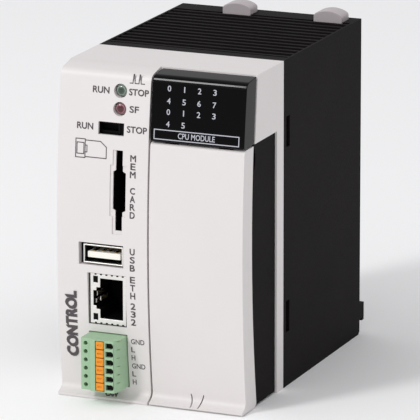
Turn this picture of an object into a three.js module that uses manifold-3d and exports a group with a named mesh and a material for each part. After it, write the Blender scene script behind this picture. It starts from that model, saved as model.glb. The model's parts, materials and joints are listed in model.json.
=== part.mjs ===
// Two-place PLC processor module that plugs into a backplane rack.
//
// Millimetres, +Z up. The pieces are laid out in the housing's own frame: X from the left
// side to the right, Y from the joint between bezel and rear case (the front is -Y), Z from the
// base. The group at the end puts the origin under the middle of the whole module.

import * as THREE from "three";
import { mergeVertices } from "three/addons/utils/BufferGeometryUtils.js";
import Module from "manifold-3d";

const wasm = await Module();
wasm.setup();

// ---------------------------------------------------------------- driving sizes

// Housing
const WIDTH = 59.2; // two rack places of 30, less the clearance to the neighbours
const HEIGHT = 100;
const CASE_DEPTH = 62.9; // rear case, joint to rear face
const FRONT_DEPTH = 31; // bezel, joint to the crown of the front
const PANEL_WIDTH = 28.8; // connector panel, left of the door
const DISPLAY_HEIGHT = 20; // head with the display, above the door
const CASE_WALL = 2;
const BEZEL_WALL = 2.2;
const THIN_WALL = 0.8; // round the openings with a moulding close behind
const GAP = 0.3; // between fixed neighbours
const RUN_GAP = 0.2; // between pieces that move on each other
const SEAM = 0.6; // visible seam beside door and display

// Curve of the front, seen from the side
const CROWN_Z = 45; // height of its foremost point
const CROWN_RADIUS = 360;
const SHOULDER_DROP = 3.5; // the front turns over into the top this far down
const SHOULDER_SLOPE = 1.25; // the sloping strip on top falls by this much
const SHOULDER_BACK = 19.7; // and starts this far in front of the joint
const LIP_HEIGHT = 3.8; // flared lip along the base
const LIP_OUT = 0.6; // how far the lip stands past the crown

// Strip of the bezel beside the wiring space, and head behind the display
const STRIP_DEPTH = 5.2;
const HEAD_DEPTH_TOP = 19.9;
const HEAD_DEPTH_BASE = 21.9;

// Door
const DOOR_WALL = 1.8;
const DOOR_SIDE = 1.6;
const DOOR_LIFT = 0.3;
const DOOR_TOP_GAP = 0.6; // under the head
const DOOR_ROUND = 1.5; // top front edge
const DOOR_BACK = 23.85; // foremost point of the side walls' rear edge
const DOOR_BACK_Z = 50;
const DOOR_BACK_RADIUS = 347;
const HINGE_DROP = 4.1; // pin below the door's top
const HINGE_INSET = 2.9; // pin behind the door's front
const PIN_RADIUS = 0.75;
const EAR_RADIUS = 1.45;
const EAR_WIDTH = 3.5;
const EAR_INSET = 4.6; // ears in from the door's sides
const TONGUE_HALF = 1.15; // snap tongue at the foot of the door
const TONGUE_FLARE = 0.85; // how much wider each side is at its root
const TONGUE_SHIFT = 0.5; // left of the door's middle
const SLIT = 0.4;

// Display
const WINDOW_OUT = 0.5; // ahead of the front's curve
const WINDOW_WALL = 1.4;
const LAMP_PITCH_X = 4.8;
const LAMP_PITCH_Z = 3.4;
const LAMP_FIRST_X = 5.5; // from the door's left edge
const LAMP_TOP = 4.6; // below the top
const LAMP_ROWS = 4;

// Rear case
const RIB_COUNT = 13;
const RIB_START = 4.5;
const REAR_BAND = 7.5; // smooth band behind the ribs
const RIB_HEIGHT = 1.2;
const RIB_WIDTH = 1.9;
const RIB_EDGE = 0.8; // of the case's sides, beside the ribs
const BASE_VENTS_FROM = 12; // the base has no vents ahead of this
const SNAP_SLOT = { front: 2.1, back: 4.8, heights: [[16.75, 26.45], [73.5, 82.8]] };
const HOOK_OUT = 3.6;
const HOOK_WIDTH = 2.2;
const HOOK_Z = [3.8, 9.5];

// Boards
const BOARD = 1.6;
const MAIN_BOARD_X = 22.4; // its connector side
const MAIN_BOARD_FRONT = 24.6; // front edge ahead of the joint
const BOARD_EDGE = 5; // below and above the boards
const RAIL_HEIGHT = 2.4;

// Lamps and switch, measured down from the top
const LED_X = 19.3;
const LED_DROPS = { green: 6.55, red: 11.85 };
const LED_RADIUS = 1.95;
const LED_HOLE = 2.1;
const SWITCH_X = [12.7, 20.9];
const SWITCH_DROP = [15.9, 19.7];
const SWITCH_FACE = 1.6; // switch body behind the front
const SWITCH_DEPTH = 6;
const KNOB_DEPTH = 0.7; // knob behind the front
const LEVER_WIDTH = 1.9;

// Memory card slot
const CARD_X = [18.5, 20.8];
const CARD_Z = [52.1, 76.1];
const THUMB_X = [17.7, 21.9];
const THUMB_Z = [58.2, 69.8];
const CARD_RIM = 0.9; // shallow rim beside the slot
const CARD_RIM_DEPTH = 0.35;
const CARD_REACH = 24;

// USB socket
const USB_X = [8.2, 20.9];
const USB_Z = [41.4, 47.1];
const USB_SHELL = 0.4;
const USB_REACH = 14;
const USB_CUT = { left: 1.3, right: 0.3, low: 0.5, high: 0.6 };

// Ethernet socket
const JACK_X = [10.2, 21.6];
const JACK_Z = [23.1, 38.3];
const JACK_REACH = 16;
const JACK_SHELL = 0.4;
const JACK_CUT = 0.6; // the opening's margin on the left
const JACK_BORE_X = [13.3, 20.6];
const JACK_BORE_Z = [24.7, 36.9];
const JACK_KEY_X = 11.1;
const JACK_KEY_Z = [28.5, 33.1];
const JACK_DEPTH = 13;
const JACK_LAMP_X = [11.1, 12.6];
const JACK_LAMP_Z = [[24.1, 26.1], [35.5, 37.5]];

// Pluggable bus terminal with spring levers
const POLES = 6;
const POLE_PITCH = 2.54;
const PLUG_X = [9.9, 21.7];
const PLUG_MID_Z = 12.35;
const PLUG_END = 0.3; // beyond the outermost poles' cells
const PLUG_OUT = 6.5; // ahead of the crown
const PLUG_NOSE = 7.5; // length inside the header
const HEADER_WALL = 1.1;
const LEVER_X = [15, 17.6];
const LEVER_LENGTH = 4.6;
const LEVER_TRAVEL = 1;
const WIRE_X = [18.15, 20.7];

// Screw terminal behind the door
const TERMINALS = 18;
const TERMINAL_PITCH = 3.5;
const TERMINAL_END = 4;
const TERMINAL_WIDTH = 12.6;
const TERMINAL_FRONT = 21;
const TERMINAL_DROP = 0.4; // below the door's hinge ears
const SCREW_RADIUS = 1;
const SCREW_HEAD = 1.45;

// Latches to the rack
const LATCH_WIDTH = 9.35;
const LATCH_LEFT_X = 21;
const LATCH_RIGHT_X = 51;
const LATCH_IN = [7.3, 1.5]; // head's front and back, ahead of the rear face
const LATCH_STEM_IN = [5.9, 2.5];
const LATCH_RISE = [2.6, 3.2]; // where the arch starts and in the middle
const LATCH_ROUND = 1.5; // ends of the arch
const LATCH_TRAVEL = 2.5;
const LATCH_STEM = 28; // below the top face
const TOOTH_DROP = [8, 12];
const TOOTH_OUT = 2.6; // behind the rear face
const SPRING_LENGTH = 6;
const SPRING_RADIUS = 1.3;
const SPRING_WIRE = 0.25;
const SPRING_TURNS = 5;

// Battery
const BATTERY_RADIUS = 7.25;
const BATTERY_LENGTH = 25;
const BATTERY_BACK = 28.9; // centre ahead of the rear face
const BATTERY_HEIGHT = 62;
const BATTERY_FIT = 0.4;

// Connector to the rack's bus
const BUS_X = [24.3, 31.5];
const BUS_Z = [27, 68]; // clear of the left latch when it is pressed
const BUS_OUT = 1.6;

// ---------------------------------------------------------------- worked-out places

const HEAD_Z = HEIGHT - DISPLAY_HEIGHT;
const DOOR_LEFT = PANEL_WIDTH + SEAM;
const DOOR_RIGHT = WIDTH - RUN_GAP;
const DOOR_TOP = HEAD_Z - DOOR_TOP_GAP;
const HINGE = { y: frontY(DOOR_TOP - HINGE_DROP) + HINGE_INSET, z: DOOR_TOP - HINGE_DROP };
const CARRIER_RIGHT = WIDTH - 0.5;
const CARRIER_FLOOR = [-STRIP_DEPTH - GAP - 2, -STRIP_DEPTH - GAP];
const EARS = [
  [DOOR_LEFT + EAR_INSET, DOOR_LEFT + EAR_INSET + EAR_WIDTH],
  [DOOR_RIGHT - EAR_INSET - EAR_WIDTH, DOOR_RIGHT - EAR_INSET],
];
const INSIDE_TOP = HEIGHT - CASE_WALL - RIB_HEIGHT;
const REAR_INSIDE = CASE_DEPTH - CASE_WALL;
const PLUG_FRONT = -FRONT_DEPTH - PLUG_OUT;
const PLUG_Z = [
  PLUG_MID_Z - (POLES * POLE_PITCH) / 2 - PLUG_END,
  PLUG_MID_Z + (POLES * POLE_PITCH) / 2 + PLUG_END,
];
const HEADER_FRONT = -FRONT_DEPTH + 3.4;
const REARMOST = CASE_DEPTH + HOOK_OUT;
const TERMINAL_TOP = HINGE.z - EAR_RADIUS - TERMINAL_DROP;
const TERMINAL_Z = [TERMINAL_TOP - TERMINALS * TERMINAL_PITCH - 2 * TERMINAL_END, TERMINAL_TOP];
const TERMINAL_MID_Z = (TERMINAL_Z[0] + TERMINAL_Z[1]) / 2;
const TERMINAL_MID_X = (DOOR_LEFT + DOOR_RIGHT) / 2;
const TERMINAL_X = [TERMINAL_MID_X - TERMINAL_WIDTH / 2, TERMINAL_MID_X + TERMINAL_WIDTH / 2];
const RIB_END = CASE_DEPTH - REAR_BAND;
const LATCH_Y = LATCH_IN.map((ahead) => CASE_DEPTH - ahead);
const LATCH_STEM_Y = LATCH_STEM_IN.map((ahead) => CASE_DEPTH - ahead);
const BATTERY_CENTRE = { y: CASE_DEPTH - BATTERY_BACK, z: BATTERY_HEIGHT };
const LATCH_BASE = HEIGHT - LATCH_STEM;

// ---------------------------------------------------------------- solids

// Turns a closed geometry into a solid that can be joined and cut.
function solid(geometry) {
  const bare = geometry.index ? geometry.toNonIndexed() : geometry.clone();
  bare.deleteAttribute("normal");
  bare.deleteAttribute("uv");
  const merged = mergeVertices(bare, 1e-4);
  return new wasm.Manifold(
    new wasm.Mesh({
      numProp: 3,
      vertProperties: merged.attributes.position.array,
      triVerts: new Uint32Array(merged.index.array),
    }),
  );
}

// Turns a solid back into a three.js geometry with flat faces.
function geometryOf(body) {
  const mesh = body.getMesh();
  const indexed = new THREE.BufferGeometry();
  indexed.setAttribute("position", new THREE.BufferAttribute(mesh.vertProperties, 3));
  indexed.setIndex(new THREE.BufferAttribute(mesh.triVerts, 1));
  const geometry = indexed.toNonIndexed();
  geometry.computeVertexNormals();
  return geometry;
}

// A block between two places on each axis.
function block(x, y, z) {
  const geometry = new THREE.BoxGeometry(x[1] - x[0], y[1] - y[0], z[1] - z[0]);
  geometry.translate((x[0] + x[1]) / 2, (y[0] + y[1]) / 2, (z[0] + z[1]) / 2);
  return solid(geometry);
}

function outline(points) {
  return new THREE.Shape(points.map(([a, b]) => new THREE.Vector2(a, b)));
}

function extruded(shape, length) {
  return new THREE.ExtrudeGeometry(shape, { depth: length, bevelEnabled: false, curveSegments: 12 });
}

// An outline of (y, z) points carried across from one X to another.
function acrossX(points, x) {
  const geometry = extruded(outline(points), x[1] - x[0]);
  geometry.applyMatrix4(new THREE.Matrix4().set(0, 0, 1, x[0], 1, 0, 0, 0, 0, 1, 0, 0, 0, 0, 0, 1));
  return solid(geometry);
}

// An outline of (x, z) points carried from one Y to another.
function alongY(points, y) {
  const geometry = extruded(outline(points), y[1] - y[0]);
  geometry.rotateX(Math.PI / 2);
  geometry.translate(0, y[1], 0);
  return solid(geometry);
}

// Round rods along each axis; centre holds the two other places in X, Y, Z order.
function rodX(x, [y, z], radius, sides = 20) {
  const geometry = new THREE.CylinderGeometry(radius, radius, x[1] - x[0], sides);
  geometry.rotateZ(Math.PI / 2).translate((x[0] + x[1]) / 2, y, z);
  return solid(geometry);
}

function rodY(y, [x, z], radius, sides = 20) {
  const geometry = new THREE.CylinderGeometry(radius, radius, y[1] - y[0], sides);
  geometry.translate(x, (y[0] + y[1]) / 2, z);
  return solid(geometry);
}

function rodZ(z, [x, y], radius, sides = 20) {
  const geometry = new THREE.CylinderGeometry(radius, radius, z[1] - z[0], sides);
  geometry.rotateX(Math.PI / 2).translate(x, y, (z[0] + z[1]) / 2);
  return solid(geometry);
}

function join(...bodies) {
  return bodies.reduce((whole, body) => whole.add(body));
}

function cut(body, ...tools) {
  return tools.reduce((rest, tool) => rest.subtract(tool), body);
}

function grown([low, high], by) {
  return [low - by, high + by];
}

// Centres of a row of equal cells about a middle.
function rowOf(count, pitch, middle) {
  return Array.from({ length: count }, (_, i) => middle + (i - (count - 1) / 2) * pitch);
}

// ---------------------------------------------------------------- curved front

// Y of the front curve at a height, or of the curve a wall's thickness inside it.
function frontY(z, inset = 0) {
  const radius = CROWN_RADIUS - inset;
  return CROWN_RADIUS - FRONT_DEPTH - Math.sqrt(radius ** 2 - (z - CROWN_Z) ** 2);
}

// Points up the front curve.
function frontLine(low, high, inset = 0, steps = 14) {
  return Array.from({ length: steps + 1 }, (_, i) => {
    const z = low + ((high - low) * i) / steps;
    return [frontY(z, inset), z];
  });
}

function curvePoints(from, control, to, steps) {
  const [a, b, c] = [from, control, to].map(([y, z]) => new THREE.Vector2(y, z));
  return new THREE.QuadraticBezierCurve(a, b, c).getPoints(steps).map((p) => [p.x, p.y]);
}

// Flared lip from the base up to the front curve, foot first.
function lipPoints(base) {
  const out = -FRONT_DEPTH - LIP_OUT;
  const neck = [frontY(LIP_HEIGHT), LIP_HEIGHT];
  const flare = curvePoints([out, 1], [neck[0], 1.8], neck, 6);
  return [[out + 0.4, base], [out, base + 0.4], ...flare];
}

function shoulderPoints() {
  const start = [frontY(HEIGHT - SHOULDER_DROP), HEIGHT - SHOULDER_DROP];
  const end = [start[0] + 1.9, HEIGHT - SHOULDER_SLOPE];
  return curvePoints(start, [start[0] + 0.4, HEIGHT - SHOULDER_SLOPE - 0.4], end, 5);
}

// ---------------------------------------------------------------- housing

// Ribbed black case, open towards the bezel.
function rearCase() {
  const chamfer = 0.9;
  const base = HEIGHT - RIB_HEIGHT;
  const side = [[0.2, 0], [CASE_DEPTH - chamfer, 0], [CASE_DEPTH, chamfer], [CASE_DEPTH, HEIGHT], [0.2, HEIGHT]];
  const inner = block([CASE_WALL, WIDTH - CASE_WALL], [-1, REAR_INSIDE], [CASE_WALL, INSIDE_TOP]);
  const ribbed = block([RIB_EDGE, WIDTH - RIB_EDGE], [RIB_START, RIB_END], [base, HEIGHT + 1]);
  let body = cut(acrossX(side, [0, WIDTH]), inner, ribbed);

  const pitch = (RIB_END - RIB_START) / RIB_COUNT;
  for (const y of rowOf(RIB_COUNT, pitch, (RIB_START + RIB_END) / 2)) {
    const rib = [[y - RIB_WIDTH / 2, base - 0.5], [y + RIB_WIDTH / 2, base - 0.5],
      [y + RIB_WIDTH / 2 - 0.3, HEIGHT - 0.1], [y - RIB_WIDTH / 2 + 0.3, HEIGHT - 0.1]];
    body = join(body, acrossX(rib, [RIB_EDGE / 2, WIDTH - RIB_EDGE / 2]));
  }
  const middle = WIDTH / 2;
  for (const y of rowOf(RIB_COUNT - 1, pitch, (RIB_START + RIB_END) / 2)) {
    const vent = grown([y, y], (pitch - RIB_WIDTH) / 2 - 0.15);
    body = cut(
      body,
      block([7, middle - 3], vent, [INSIDE_TOP - 1, HEIGHT]),
      block([middle + 3, WIDTH - 7], vent, [INSIDE_TOP - 1, HEIGHT]),
    );
    if (y > BASE_VENTS_FROM) body = cut(body, block([9, WIDTH - 9], vent, [-1, CASE_WALL + 1]));
  }

  for (const z of SNAP_SLOT.heights) {
    body = cut(body, block([-1, WIDTH + 1], [SNAP_SLOT.front, SNAP_SLOT.back], z));
  }
  for (const x of [[0, HOOK_WIDTH], [WIDTH - HOOK_WIDTH, WIDTH]]) body = join(body, rackHook(x));
  for (const x of [LATCH_LEFT_X, LATCH_RIGHT_X]) body = latchSeat(body, x);

  const busHole = block(grown(BUS_X, GAP), [REAR_INSIDE - 1, CASE_DEPTH + 1], grown(BUS_Z, GAP));
  body = cut(body, busHole, batteryWindow());
  return join(body, ...boardRails());
}

// Claw that hangs the module's foot on the rack.
function rackHook(x) {
  const [low, high] = HOOK_Z;
  const back = CASE_DEPTH + HOOK_OUT;
  return acrossX(
    [[REAR_INSIDE, low + 0.9], [back - 1.6, low + 0.9], [back - 1.6, low], [back, low], [back, high],
      [REAR_INSIDE, high]],
    x,
  );
}

// Opening, tooth slot and spring shelf for one latch.
function latchSeat(body, x) {
  const side = grown([x, x], LATCH_WIDTH / 2 + RUN_GAP + 0.1);
  const mouth = block(side, grown(LATCH_Y, RUN_GAP), [INSIDE_TOP - 1, HEIGHT + 1]);
  const toothZ = [HEIGHT - TOOTH_DROP[1] - LATCH_TRAVEL - GAP, HEIGHT - TOOTH_DROP[0] + GAP];
  const slot = block(grown([x, x], LATCH_WIDTH / 2 - 1 + GAP), [REAR_INSIDE - 1, CASE_DEPTH + 1], toothZ);
  const shelfTop = LATCH_BASE - SPRING_LENGTH - GAP;
  const shelfX = grown([x, x], SPRING_RADIUS + SPRING_WIRE + 0.8);
  const shelf = block(shelfX, [LATCH_STEM_Y[0] - 1, REAR_INSIDE + 0.5], [shelfTop - 1.8, shelfTop]);
  return join(cut(body, mouth, slot), shelf);
}

// Rails on floor and ceiling that hold the main and the power board.
function boardRails() {
  const rails = [];
  for (const x of [MAIN_BOARD_X, powerBoardX()]) {
    for (const side of [[x - GAP - 1.4, x - GAP], [x + BOARD + GAP, x + BOARD + GAP + 1.4]]) {
      const y = [10, LATCH_STEM_Y[0] - 3];
      rails.push(block(side, y, [CASE_WALL - 0.5, BOARD_EDGE + RAIL_HEIGHT]));
      rails.push(block(side, y, [INSIDE_TOP - RAIL_HEIGHT - 2, INSIDE_TOP + 0.5]));
    }
  }
  return rails;
}

function powerBoardX() {
  return WIDTH - CASE_WALL - 5;
}

// Light bezel: connector panel, head behind the display and the strip beside the wiring space.
function frontBezel() {
  const panelSide = [[0, 0], ...lipPoints(0), ...frontLine(LIP_HEIGHT, HEIGHT - SHOULDER_DROP).slice(1, -1),
    ...shoulderPoints(), [-SHOULDER_BACK, HEIGHT], [0, HEIGHT]];
  const headSide = [[0, HEAD_Z], [-HEAD_DEPTH_BASE, HEAD_Z], [-HEAD_DEPTH_TOP, HEIGHT - 0.05],
    [-SHOULDER_BACK, HEIGHT], [0, HEIGHT]];
  const inTop = HEIGHT - BEZEL_WALL - 0.4;
  const panelInside = [[1, BEZEL_WALL], ...frontLine(BEZEL_WALL, inTop, BEZEL_WALL), [1, inTop]];
  const wall = BEZEL_WALL - 0.4;
  const headInside = [[1, HEAD_Z + wall], [-HEAD_DEPTH_BASE + wall, HEAD_Z + wall],
    [-HEAD_DEPTH_TOP + wall, inTop], [1, inTop]];
  const divider = PANEL_WIDTH - BEZEL_WALL;

  let body = join(
    cut(acrossX(panelSide, [0, PANEL_WIDTH]), acrossX(panelInside, [BEZEL_WALL, divider])),
    cut(acrossX(headSide, [divider, WIDTH]), acrossX(headInside, [PANEL_WIDTH, WIDTH - BEZEL_WALL])),
    block([WIDTH - BEZEL_WALL, WIDTH], [-STRIP_DEPTH, 0], [0, HEAD_Z + 1]),
    block([divider, WIDTH], [-STRIP_DEPTH, 0], [0, BEZEL_WALL]),
  );
  body = cut(body, ...panelOpenings(), ...thinnedWalls(), displayPassage());
  return join(body, ...snapTongues());
}

// Pockets in the panel's back that leave a thin wall round the card slot and the switch.
function thinnedWalls() {
  const right = MAIN_BOARD_X;
  return [
    [[THUMB_X[0] - 1 - GAP, right], grown(CARD_Z, 1.2)],
    [[SWITCH_X[0] - 1.2 - GAP, right], grown(switchPlace().z, 1.5)],
  ].map(([x, z]) => behindFront(x, z, THIN_WALL, BEZEL_WALL + 2));
}

// A block whose front follows the panel's curve, a wall's thickness behind it.
function behindFront(x, [low, high], inset, depth) {
  const back = Math.max(frontY(low), frontY(high)) + depth;
  return acrossX([[back, low], ...frontLine(low, high, inset, 8), [back, high]], x);
}

// Every opening in the connector panel.
function panelOpenings() {
  const through = [-FRONT_DEPTH - 3, -FRONT_DEPTH + 9];
  const switchZ = [HEIGHT - SWITCH_DROP[1], HEIGHT - SWITCH_DROP[0]];
  return [
    ...Object.values(LED_DROPS).map((drop) => rodY(through, [LED_X, HEIGHT - drop], LED_HOLE, 24)),
    block(SWITCH_X, through, switchZ),
    block(CARD_X, through, CARD_Z),
    thumbWay(through),
    frontRecess([CARD_X[0] - CARD_RIM, CARD_X[1]], [CARD_Z[0] - 1.1, CARD_Z[1]], CARD_RIM_DEPTH),
    frontRecess([THUMB_X[0] - CARD_RIM, THUMB_X[1]], [THUMB_Z[0] - 1.8, THUMB_Z[1] + 1.9], CARD_RIM_DEPTH),
    block([USB_X[0] - USB_CUT.left, USB_X[1] + USB_CUT.right], through,
      [USB_Z[0] - USB_CUT.low, USB_Z[1] + USB_CUT.high]),
    block([JACK_X[0] - JACK_CUT, JACK_X[1] + GAP], through, grown(JACK_Z, GAP)),
    block(grown(PLUG_X, GAP), through, grown(PLUG_Z, GAP)),
  ];
}

// Everything ahead of the panel's surface and a little way into it.
function frontRecess(x, [low, high], depth) {
  const ahead = -FRONT_DEPTH - 3;
  return acrossX([[ahead, low], ...frontLine(low, high, depth, 8), [ahead, high]], x);
}

// Finger hollow across the card slot, with sloping shoulders.
function thumbWay(y) {
  const [left, right] = THUMB_X;
  const [low, high] = THUMB_Z;
  return alongY([
    [left, low + 0.35], [CARD_X[0], low - 0.1], [CARD_X[1], low - 0.5], [right, low + 0.1],
    [right, high - 0.5], [CARD_X[1], high + 0.1], [CARD_X[0], high + 0.3], [left, high - 0.1],
  ], y);
}

// Hole in the head's front wall, where the display's board is wired.
function displayPassage() {
  return block([PANEL_WIDTH + 5, WIDTH - 5], [-HEAD_DEPTH_BASE - 2, -HEAD_DEPTH_TOP + 4],
    [HEAD_Z + 4, HEIGHT - 5]);
}

// Tongues whose teeth snap into the slots in the case's sides.
function snapTongues() {
  const inner = CASE_WALL + GAP;
  const tongues = [];
  for (const slot of SNAP_SLOT.heights) {
    const z = grown(slot, -0.5);
    const tooth = [SNAP_SLOT.front + GAP, SNAP_SLOT.front + 1.6];
    const right = [WIDTH - inner - 1.4, WIDTH - inner];
    const left = [inner, inner + 1.4];
    tongues.push(
      block(right, [-3, SNAP_SLOT.back + 1.4], z),
      block([right[0], right[1] + 1], [-3, -0.5], z),
      block([right[0], WIDTH - 0.8], tooth, z),
      block(left, [-3, SNAP_SLOT.back + 1.4], z),
      block([left[0] - 1, left[1]], [-3, -0.5], z),
      block([0.8, left[1]], tooth, z),
    );
  }
  return tongues;
}

// ---------------------------------------------------------------- wiring space and door

function doorBackY(z) {
  return DOOR_BACK_RADIUS - DOOR_BACK - Math.sqrt(DOOR_BACK_RADIUS ** 2 - (z - DOOR_BACK_Z) ** 2);
}

function doorBackLine(high, low, shift = 0, steps = 10) {
  return Array.from({ length: steps + 1 }, (_, i) => {
    const z = high + ((low - high) * i) / steps;
    return [doorBackY(z) + shift, z];
  });
}

// Black carrier behind the door, with the ears that the door turns on.
function terminalCarrier() {
  const low = 0.6;
  const high = HEAD_Z - GAP;
  const back = CARRIER_FLOOR[1];
  const rightSide = [[back, low], [back, high], ...doorBackLine(high, low, 0.5)].reverse();
  const leftSide = [[back, low], [-STRIP_DEPTH - 12, low], [-STRIP_DEPTH - 12, high], [back, high]];
  const across = [PANEL_WIDTH + GAP, CARRIER_RIGHT];
  const relief = rodX([PANEL_WIDTH, WIDTH + 1], [HINGE.y, HINGE.z], doorCornerRadius() + 0.4, 40);
  const roof = block(across, [HINGE.y + doorCornerRadius() + 0.5, back], [high - 1.8, high]);
  let body = join(
    cut(acrossX(rightSide, [CARRIER_RIGHT - 1.8, CARRIER_RIGHT]), relief),
    acrossX(leftSide.reverse(), [across[0], across[0] + 1.5]),
    block(across, CARRIER_FLOOR, [low, high]),
    roof,
  );
  for (const x of EARS) body = join(body, hingeEar(x, high));
  const holes = EARS.map((x) => rodX(grown(x, 1), [HINGE.y, HINGE.z], PIN_RADIUS + RUN_GAP));
  const header = block(grown(headerX(), GAP), grown(CARRIER_FLOOR, 1), grown(headerZ(), GAP));
  const screws = screwHeights().map((z) =>
    rodY(grown(CARRIER_FLOOR, 1), [TERMINAL_MID_X, z], SCREW_RADIUS + GAP, 16));
  return cut(body, ...holes, header, ...screws);
}

// Reach of the door's upper rear corner about the pin.
function doorCornerRadius() {
  return Math.hypot(doorBackY(DOOR_TOP) - HINGE.y, DOOR_TOP - HINGE.z);
}

function hingeEar(x, roofTop) {
  const heel = HINGE.y + doorCornerRadius() + 0.7;
  const arm = [[HINGE.y, HINGE.z - EAR_RADIUS], [heel + 3, HINGE.z - EAR_RADIUS], [heel + 3, roofTop - 0.5],
    [heel, roofTop - 0.5], [heel, HINGE.z + 0.8], [HINGE.y, HINGE.z + 0.8]];
  return join(rodX(x, [HINGE.y, HINGE.z], EAR_RADIUS, 24), acrossX(arm, x));
}

// Hinged door over the wiring space, with its flared foot and snap tongue.
function door() {
  const round = curvePoints(
    [frontY(DOOR_TOP - DOOR_ROUND), DOOR_TOP - DOOR_ROUND],
    [frontY(DOOR_TOP), DOOR_TOP],
    [frontY(DOOR_TOP) + DOOR_ROUND, DOOR_TOP],
    5,
  );
  const heel = DOOR_LIFT + 0.9;
  const side = [[doorBackY(heel) - 1.2, DOOR_LIFT], ...lipPoints(DOOR_LIFT),
    ...frontLine(LIP_HEIGHT, DOOR_TOP - DOOR_ROUND).slice(1, -1), ...round, ...doorBackLine(DOOR_TOP, heel)];
  const innerX = [DOOR_LEFT + DOOR_SIDE, DOOR_RIGHT - DOOR_SIDE];
  const foot = DOOR_LIFT + DOOR_WALL;
  const inside = [[0, foot], ...frontLine(foot, DOOR_TOP + 2, DOOR_WALL), [0, DOOR_TOP + 2]];
  const wireWay = block(innerX, [-FRONT_DEPTH + 6, 0], [-1, foot + 1]);
  const pinHole = rodX([DOOR_LEFT + 0.5, DOOR_RIGHT - 0.5], [HINGE.y, HINGE.z], PIN_RADIUS + 0.12);
  const pockets = EARS.map((x) =>
    block(grown(x, 0.6), [HINGE.y - EAR_RADIUS - GAP, 0], [HINGE.z - 9, DOOR_TOP + 1]));
  const middle = (DOOR_LEFT + DOOR_RIGHT) / 2 - TONGUE_SHIFT;
  const slits = [-1, 1].map((way) => {
    const low = middle + way * TONGUE_HALF;
    const high = low + way * TONGUE_FLARE;
    return alongY(
      [[low - SLIT / 2, 0.9], [low + SLIT / 2, 0.9], [high + SLIT / 2, 4.4], [high - SLIT / 2, 4.4]],
      [-FRONT_DEPTH - 3, -FRONT_DEPTH + 5],
    );
  });
  return cut(acrossX(side, [DOOR_LEFT, DOOR_RIGHT]), acrossX(inside, innerX), wireWay, pinHole,
    ...pockets, ...slits);
}

function doorHingePin() {
  return rodX([DOOR_LEFT + 0.7, DOOR_RIGHT - 0.7], [HINGE.y, HINGE.z], PIN_RADIUS);
}

// Card with the terminals' names, inside the door.
function labelCard() {
  const low = 12;
  const high = HINGE.z - 11;
  const front = frontLine(low, high, DOOR_WALL + GAP, 10);
  const back = frontLine(low, high, DOOR_WALL + GAP + 0.4, 10).reverse();
  return acrossX([...front, ...back], [DOOR_LEFT + DOOR_SIDE + 3, DOOR_RIGHT - DOOR_SIDE - 3]);
}

function screwHeights() {
  return [TERMINAL_Z[0] + TERMINAL_END / 2, TERMINAL_Z[1] - TERMINAL_END / 2];
}

function headerX() {
  return [TERMINAL_MID_X - 4.3, TERMINAL_MID_X + 4.3];
}

function headerZ() {
  return [TERMINAL_Z[0] + TERMINAL_END, TERMINAL_Z[1] - TERMINAL_END];
}

// Removable terminal block with a wire hole and a screw well for each pole.
function terminalBlock() {
  const back = CARRIER_FLOOR[0] - GAP;
  const step = TERMINAL_MID_X + 0.6;
  const face = [[TERMINAL_X[0], back], [TERMINAL_X[1], back], [TERMINAL_X[1], -TERMINAL_FRONT + 3],
    [step + 0.5, -TERMINAL_FRONT + 3], [step, -TERMINAL_FRONT], [TERMINAL_X[0], -TERMINAL_FRONT]];
  const shape = extruded(outline(face.reverse()), TERMINAL_Z[1] - TERMINAL_Z[0]);
  shape.translate(0, 0, TERMINAL_Z[0]);
  const tools = [];
  for (const z of rowOf(TERMINALS, TERMINAL_PITCH, TERMINAL_MID_Z)) {
    tools.push(block([TERMINAL_X[0] + 1.5, TERMINAL_X[0] + 4], [-TERMINAL_FRONT - 1, -TERMINAL_FRONT + 7],
      [z - 1.2, z + 1.2]));
    tools.push(rodY([-TERMINAL_FRONT - 1, -TERMINAL_FRONT + 7], [TERMINAL_X[1] - 3, z], 1.35, 10));
  }
  const headY = [-TERMINAL_FRONT - 1, -TERMINAL_FRONT + 5];
  for (const z of screwHeights()) {
    tools.push(rodY([-TERMINAL_FRONT - 1, back + 1], [TERMINAL_MID_X, z], SCREW_RADIUS + 0.2, 16));
    tools.push(rodY(headY, [TERMINAL_MID_X, z], SCREW_HEAD + 0.2, 20));
  }
  return cut(solid(shape), ...tools);
}

// Screw that holds one end of the terminal block to the carrier.
function terminalScrew(z) {
  const seat = -TERMINAL_FRONT + 5 - 0.1;
  const head = rodY([seat - 1.8, seat], [TERMINAL_MID_X, z], SCREW_HEAD, 20);
  const shank = rodY([seat - 0.5, CARRIER_FLOOR[1] - 0.2], [TERMINAL_MID_X, z], SCREW_RADIUS, 16);
  const slot = block(grown([TERMINAL_MID_X, TERMINAL_MID_X], 3), [seat - 3, seat - 1], [z - 0.3, z + 0.3]);
  return cut(join(head, shank), slot);
}

function terminalHeader() {
  return cut(
    block(headerX(), [CARRIER_FLOOR[0], ioBoardY()[0] - 0.1], headerZ()),
    block(grown(headerX(), -1.2), [CARRIER_FLOOR[0] - 1, CARRIER_FLOOR[0] + 1.5], grown(headerZ(), -1.2)),
  );
}

function ioBoardY() {
  return [-3.4, -3.4 + BOARD];
}

function ioBoard() {
  const x = [PANEL_WIDTH + 1.2, WIDTH - BEZEL_WALL - 2];
  const corner = block([x[0] - 1, x[0] + 4], grown(ioBoardY(), 1), [HEAD_Z - 8, HEAD_Z]);
  return cut(block(x, ioBoardY(), [BEZEL_WALL + 1.5, HEAD_Z - 1.5]), corner);
}

// ---------------------------------------------------------------- display

function displayFrontLine(inset, low, high) {
  return frontLine(low, high, inset - WINDOW_OUT, 6);
}

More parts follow.
